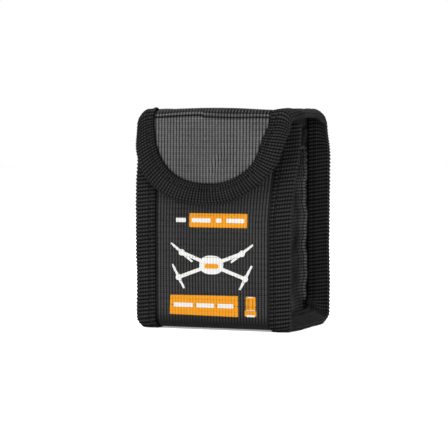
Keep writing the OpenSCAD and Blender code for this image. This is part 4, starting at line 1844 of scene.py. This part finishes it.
class Stencil:
    """Flat shapes as signed distances in millimetres, negative inside, to print through."""

    @staticmethod
    def block(cx: float, cz: float, half_w: float, half_h: float, corner: float = 0.3,
              lean: float = 0.0, spread: float = 0.0) -> Shape:
        """A rectangle with rounded corners.

        Args:
            cx: x of its middle.
            cz: z of its middle.
            half_w: half its width.
            half_h: half its height.
            corner: radius of its corners.
            lean: how far the top of its left edge leans to the right.
            spread: how much higher it is at its right end, as a share.

        Returns:
            The shape.
        """
        def distance(x: np.ndarray, z: np.ndarray) -> np.ndarray:
            """The signed distance.

            Args:
                x: x of the points.
                z: z of the points.

            Returns:
                The distance.
            """
            level = (z - cz) / (1.0 + spread * (x - cx) / half_w)
            dx = np.abs(x - cx) - half_w + corner + lean * (0.5 + 0.5 * level / half_h) * (x < cx)
            dz = np.abs(level) - half_h + corner
            out = np.hypot(np.maximum(dx, 0), np.maximum(dz, 0))
            return out + np.minimum(np.maximum(dx, dz), 0) - corner
        return distance

    @staticmethod
    def stroke(x0: float, z0: float, x1: float, z1: float, r0: float, r1: float) -> Shape:
        """A round-ended stroke whose half width goes from r0 to r1.

        Args:
            x0: x of its start.
            z0: z of its start.
            x1: x of its end.
            z1: z of its end.
            r0: half width at its start.
            r1: half width at its end.

        Returns:
            The shape.
        """
        def distance(x: np.ndarray, z: np.ndarray) -> np.ndarray:
            """The signed distance.

            Args:
                x: x of the points.
                z: z of the points.

            Returns:
                The distance.
            """
            dx, dz = x1 - x0, z1 - z0
            t = np.clip(((x - x0) * dx + (z - z0) * dz) / (dx * dx + dz * dz), 0, 1)
            return np.hypot(x - x0 - t * dx, z - z0 - t * dz) - (r0 + (r1 - r0) * t)
        return distance

    @staticmethod
    def oval(cx: float, cz: float, half_w: float, half_h: float, power: float = 2.0) -> Shape:
        """An oval, which is squarer where the power is higher.

        Args:
            cx: x of its middle.
            cz: z of its middle.
            half_w: half its width.
            half_h: half its height.
            power: 2 for an ellipse.

        Returns:
            The shape.
        """
        def distance(x: np.ndarray, z: np.ndarray) -> np.ndarray:
            """Close to the signed distance."""
            size = (np.abs((x - cx) / half_w) ** power + np.abs((z - cz) / half_h) ** power) ** (1 / power)
            return (size - 1.0) * min(half_w, half_h)
        return distance

    @staticmethod
    def union(*shapes: Shape) -> Shape:
        """All the shapes together."""
        return lambda x, z: np.minimum.reduce([shape(x, z) for shape in shapes])

    @staticmethod
    def without(shape: Shape, *holes: Shape) -> Shape:
        """A shape less its holes."""
        return lambda x, z: np.maximum.reduce([shape(x, z)] + [-hole(x, z) for hole in holes])

    @staticmethod
    def both_sides(make: Callable[[float], Shape]) -> Shape:
        """A shape made on the right and on the left, from the sign of X."""
        return Stencil.union(make(1.0), make(-1.0))


@dataclass
class Prints:
    """The prints on the front: two bands with plain bars, a plain quadcopter and a battery cell."""

    shop: Shop
    step: float = 0.2
    rise: float = 0.1
    drone_x: float = 0.0
    drone_z: float = 31.0
    drone_reach: float = 24.0
    hubs: tuple[tuple[float, float, float], ...] = ((15.2, 5.6, 38.0), (16.8, -6.2, 62.0))
    blade: float = 6.6
    arm_half: float = 0.85
    hub: float = 1.5
    blade_halves: tuple[float, float] = (0.75, 0.45)
    margin: float = 0.4
    overprint: float = 0.07
    bar_height: float = 2.0
    label_bars: Spans = ((-18.2, -13.2), (-10.2, -0.6), (2.0, 4.8), (7.4, 16.4))
    band_bars: Spans = ((-19.4, -9.6), (-7.8, 1.2), (3.0, 10.8))

    def stamp(self, name: str, cloth: Cloth, shape: Shape, low: tuple[float, float],
              high: tuple[float, float], lift: float, nodes: Sequence[str]) -> None:
        """Prints a shape on the front.

        Args:
            name: the piece's name.
            cloth: the ink.
            shape: the stencil.
            low: least x and z of the shape.
            high: greatest x and z.
            lift: how far the ink stands off the cloth.
            nodes: the CAD nodes it stands for.
        """
        shop = self.shop
        x = stations(low[0] - self.margin, high[0] + self.margin, self.step)
        z = stations(high[1] + self.margin, low[1] - self.margin, self.step)
        grid_x, grid_z = np.meshgrid(x, z)
        reach = shape(grid_x, grid_z)
        inside = shape((grid_x[1:, 1:] + grid_x[:-1, :-1]) / 2, (grid_z[1:, 1:] + grid_z[:-1, :-1]) / 2) < 0
        touched = np.zeros(grid_x.shape, bool)
        full = np.zeros(grid_x.shape, int)
        for di in (0, 1):
            for dj in (0, 1):
                window = (slice(di, di + inside.shape[0]), slice(dj, dj + inside.shape[1]))
                touched[window] |= inside
                full[window] += inside
        rim = touched & (full < 4)
        tiny = 0.01
        slope_x = (shape(grid_x + tiny, grid_z) - shape(grid_x - tiny, grid_z)) / (2 * tiny)
        slope_z = (shape(grid_x, grid_z + tiny) - shape(grid_x, grid_z - tiny)) / (2 * tiny)
        size = np.maximum(slope_x ** 2 + slope_z ** 2, 0.2)
        shift = np.clip(reach, -0.9 * self.step, 0.9 * self.step) * rim / size
        grid_x, grid_z = grid_x - shift * slope_x, grid_z - shift * slope_z
        s = shop.line.front_station(grid_z)
        points = shop.stance.settle(shop.line.place(grid_x, s, lift))
        piece = Weave(points, grid_x, s, 1.0, inside).piece(name)
        shop.rib_cloth(piece, cloth, Panels.rib_height, Panels.weft_depth)
        shop.declare(piece, nodes)

    def band(self, name: str, node: str, bars: Sequence[tuple[float, float]], lean: float = 0.0,
             spread: float = 0.0) -> None:
        """Prints an orange band and a row of plain white bars.

        Args:
            name: what the band is called.
            node: the CAD node of the band, whose bars are in a node with _marks added.
            bars: the ends of each bar.
            lean: how far the top of the band's left edge leans to the right.
            spread: how much higher the band is at its right end, as a share.
        """
        low, high = mm_box(node)
        middle_z = (low.z + high.z) / 2
        body = Stencil.block((low.x + high.x) / 2, middle_z, (high.x - low.x) / 2, (high.z - low.z) / 2, 0.25,
                             lean, spread)
        self.stamp(f"{name}_band", Cloth.ORANGE, body, (low.x, low.z - 1), (high.x, high.z + 1), self.rise,
                   [node])
        white = Stencil.union(*(Stencil.block((a + b) / 2, middle_z, (b - a) / 2, self.bar_height / 2)
                                for a, b in bars))
        ends = (min(a for a, _ in bars), max(b for _, b in bars))
        self.stamp(f"{name}_bars", Cloth.WHITE, white, (ends[0], low.z), (ends[1], high.z),
                   self.rise + self.overprint, [f"{node}_marks"])

    def quadcopter(self) -> None:
        """Prints a plain quadcopter symbol: a rounded body, four arms and four two-blade rotors."""
        z, middle = self.drone_z, self.drone_x
        st = Stencil

        def limbs(side: float) -> Shape:
            """The two arms of one side, each with its hub and rotor.

            Args:
                side: 1 on the right and -1 on the left.

            Returns:
                The shape of both arms.
            """
            shapes = []
            for x, up, tilt in self.hubs:
                hub_x, hub_z = middle + side * x, z + up
                blade_x = side * self.blade * math.cos(math.radians(tilt))
                blade_z = self.blade * math.sin(math.radians(tilt))
                shapes += [st.stroke(middle, z, hub_x, hub_z, self.arm_half, self.arm_half),
                           st.oval(hub_x, hub_z, self.hub, self.hub),
                           st.stroke(hub_x, hub_z, hub_x + blade_x, hub_z + blade_z, *self.blade_halves),
                           st.stroke(hub_x, hub_z, hub_x - blade_x, hub_z - blade_z, *self.blade_halves)]
            return st.union(*shapes)

        body = st.oval(middle, z, 6.0, 4.4, 2.4)
        brow = st.block(middle, z - 0.6, 3.6, 1.1, 1.0)
        low, high = (middle - self.drone_reach, z - 11.0), (middle + self.drone_reach, z + 14.0)
        white = st.without(st.union(body, st.both_sides(limbs)), brow)
        self.stamp("quadcopter_white_ink", Cloth.WHITE, white, low, high, self.rise, ["drone_pictogram"])
        brow_low, brow_high = (middle - 4.0, z - 2.0), (middle + 4.0, z + 2.0)
        self.stamp("quadcopter_orange_ink", Cloth.ORANGE, brow, brow_low, brow_high, self.rise,
                   ["drone_pictogram"])

    def battery(self) -> None:
        """Prints a plain battery cell with a shaded side and a contact foot."""
        low, high = mm_box("battery_symbol")
        cx, height = (low.x + high.x) / 2, high.z - low.z
        st = Stencil
        can = st.block(cx, low.z + 0.6 * height, 2.4, 0.4 * height, 0.4)
        foot = st.block(cx, low.z + 0.17 * height, 2.85, 0.15 * height, 0.5)
        slits = st.union(st.block(cx - 1.2, low.z + 0.62 * height, 0.13, 0.27 * height, 0.1),
                         st.block(cx + 1.2, low.z + 0.62 * height, 0.13, 0.27 * height, 0.1),
                         st.block(cx, low.z + 0.33 * height, 2.2, 0.14, 0.1))
        base = st.block(cx, low.z + 0.05 * height, 2.1, 0.05 * height, 0.2)
        body = st.without(st.union(can, foot), slits, base)
        self.stamp("battery_symbol_orange", Cloth.ORANGE, body, (low.x, low.z), (high.x, high.z), self.rise,
                   ["battery_symbol"])
        rim = st.union(base, st.block(cx, high.z - 0.25, 1.3, 0.22, 0.15),
                       st.block(cx, low.z + 0.33 * height, 2.2, 0.12, 0.1))
        self.stamp("battery_symbol_white", Cloth.WHITE, rim, (low.x, low.z), (high.x, high.z),
                   self.rise + self.overprint, ["battery_symbol"])

    def build(self) -> None:
        """Makes every print."""
        self.band("upper", "upper_label", self.label_bars)
        self.band("lower", "lower_label", self.band_bars, 0.6, 0.04)
        self.quadcopter()
        self.battery()


@dataclass
class Studio:
    """The floor, the lights and the camera."""

    wardrobe: Wardrobe
    azimuth: float = 21.2
    elevation: float = 2.88
    place: tuple[float, float, float] = (0.3592, -0.93895, 0.0995)
    lens: float = 167.5
    floor_half: float = 3.0
    daylight: float = 0.7
    sensor: float = 36.0
    aim_height: float = 0.05
    lamps: tuple[tuple[str, tuple[float, float, float], float, float], ...] = (
        ("overhead_light", (-0.1, -0.15, 1.2), 0.9, 21.0),
        ("key_light", (-0.5, -0.8, 0.8), 0.8, 6.5),
        ("fill_light", (0.9, -0.7, 0.3), 0.7, 9.5))

    def floor(self) -> None:
        """Lays the pale floor."""
        h = self.floor_half
        mesh = bpy.data.meshes.new("studio_floor")
        mesh.from_pydata([(-h, -h, 0), (h, -h, 0), (h, h, 0), (-h, h, 0)], [], [(0, 1, 2, 3)])
        piece = show("studio_floor", mesh)
        self.wardrobe.dress(piece, Cloth.PAPER)

    def sky(self) -> None:
        """Surrounds the bag with even light, behind which the background is white."""
        world = bpy.data.worlds.new("studio")
        world.use_nodes = True
        g = Graph(world.node_tree)
        seen = g.add("ShaderNodeLightPath").outputs["Is Camera Ray"]
        strength = g.math("MULTIPLY_ADD", seen, 1.0 - self.daylight, self.daylight)
        light = g.put(g.add("ShaderNodeBackground"), Color=grey(1.0), Strength=strength)
        g.put(g.add("ShaderNodeOutputWorld"), Surface=light.outputs[0])
        bpy.context.scene.world = world

    def lamp(self, name: str, at: tuple[float, float, float], size: float, power: float) -> None:
        """Hangs a soft square light that faces the bag.

        Args:
            name: the light's name.
            at: where it hangs, in metres.
            size: its side, in metres.
            power: its power, in watts.
        """
        light = bpy.data.lights.new(name, "AREA")
        light.size, light.energy = size, power
        lamp = show(name, light)
        lamp.location = at
        aim = Vector((0.0, 0.0, self.aim_height)) - Vector(at)
        lamp.rotation_mode = "QUATERNION"
        lamp.rotation_quaternion = aim.to_track_quat("-Z", "Y")

    def camera(self) -> None:
        """Sets up the camera."""
        data = bpy.data.cameras.new("camera")
        data.lens, data.sensor_width = self.lens, self.sensor
        camera = show("camera", data)
        a, e = math.radians(self.azimuth), math.radians(self.elevation)
        back = Vector((math.sin(a) * math.cos(e), -math.cos(a) * math.cos(e), math.sin(e)))
        camera.location = self.place
        camera.rotation_mode = "QUATERNION"
        camera.rotation_quaternion = (-back).to_track_quat("-Z", "Y")
        bpy.context.scene.camera = camera

    def build(self) -> None:
        """Sets up the whole studio."""
        bpy.context.scene.view_settings.view_transform = "Standard"
        self.sky()
        self.floor()
        for lamp in self.lamps:
            self.lamp(*lamp)
        self.camera()


def main() -> None:
    """Builds the bag, sub-assembly by sub-assembly."""
    logging.basicConfig(level=logging.INFO, format="%(name)s %(message)s")
    cut = Cut.from_frame()
    shop = Shop(cut, Profile(cut), Stance(cut), Tongue(cut))
    Studio(shop.wardrobe).build()
    bindings = Bindings(shop)
    panels = Panels(shop)
    for side in Side:
        bindings.edge_strip(side)
    bindings.flap_strip()
    bindings.mouth_strip()
    panels.build()
    bindings.stitch()
    bindings.stitch_hems(panels)
    Closure(shop).build()
    Prints(shop).build()


if __name__ == "__main__":
    main()
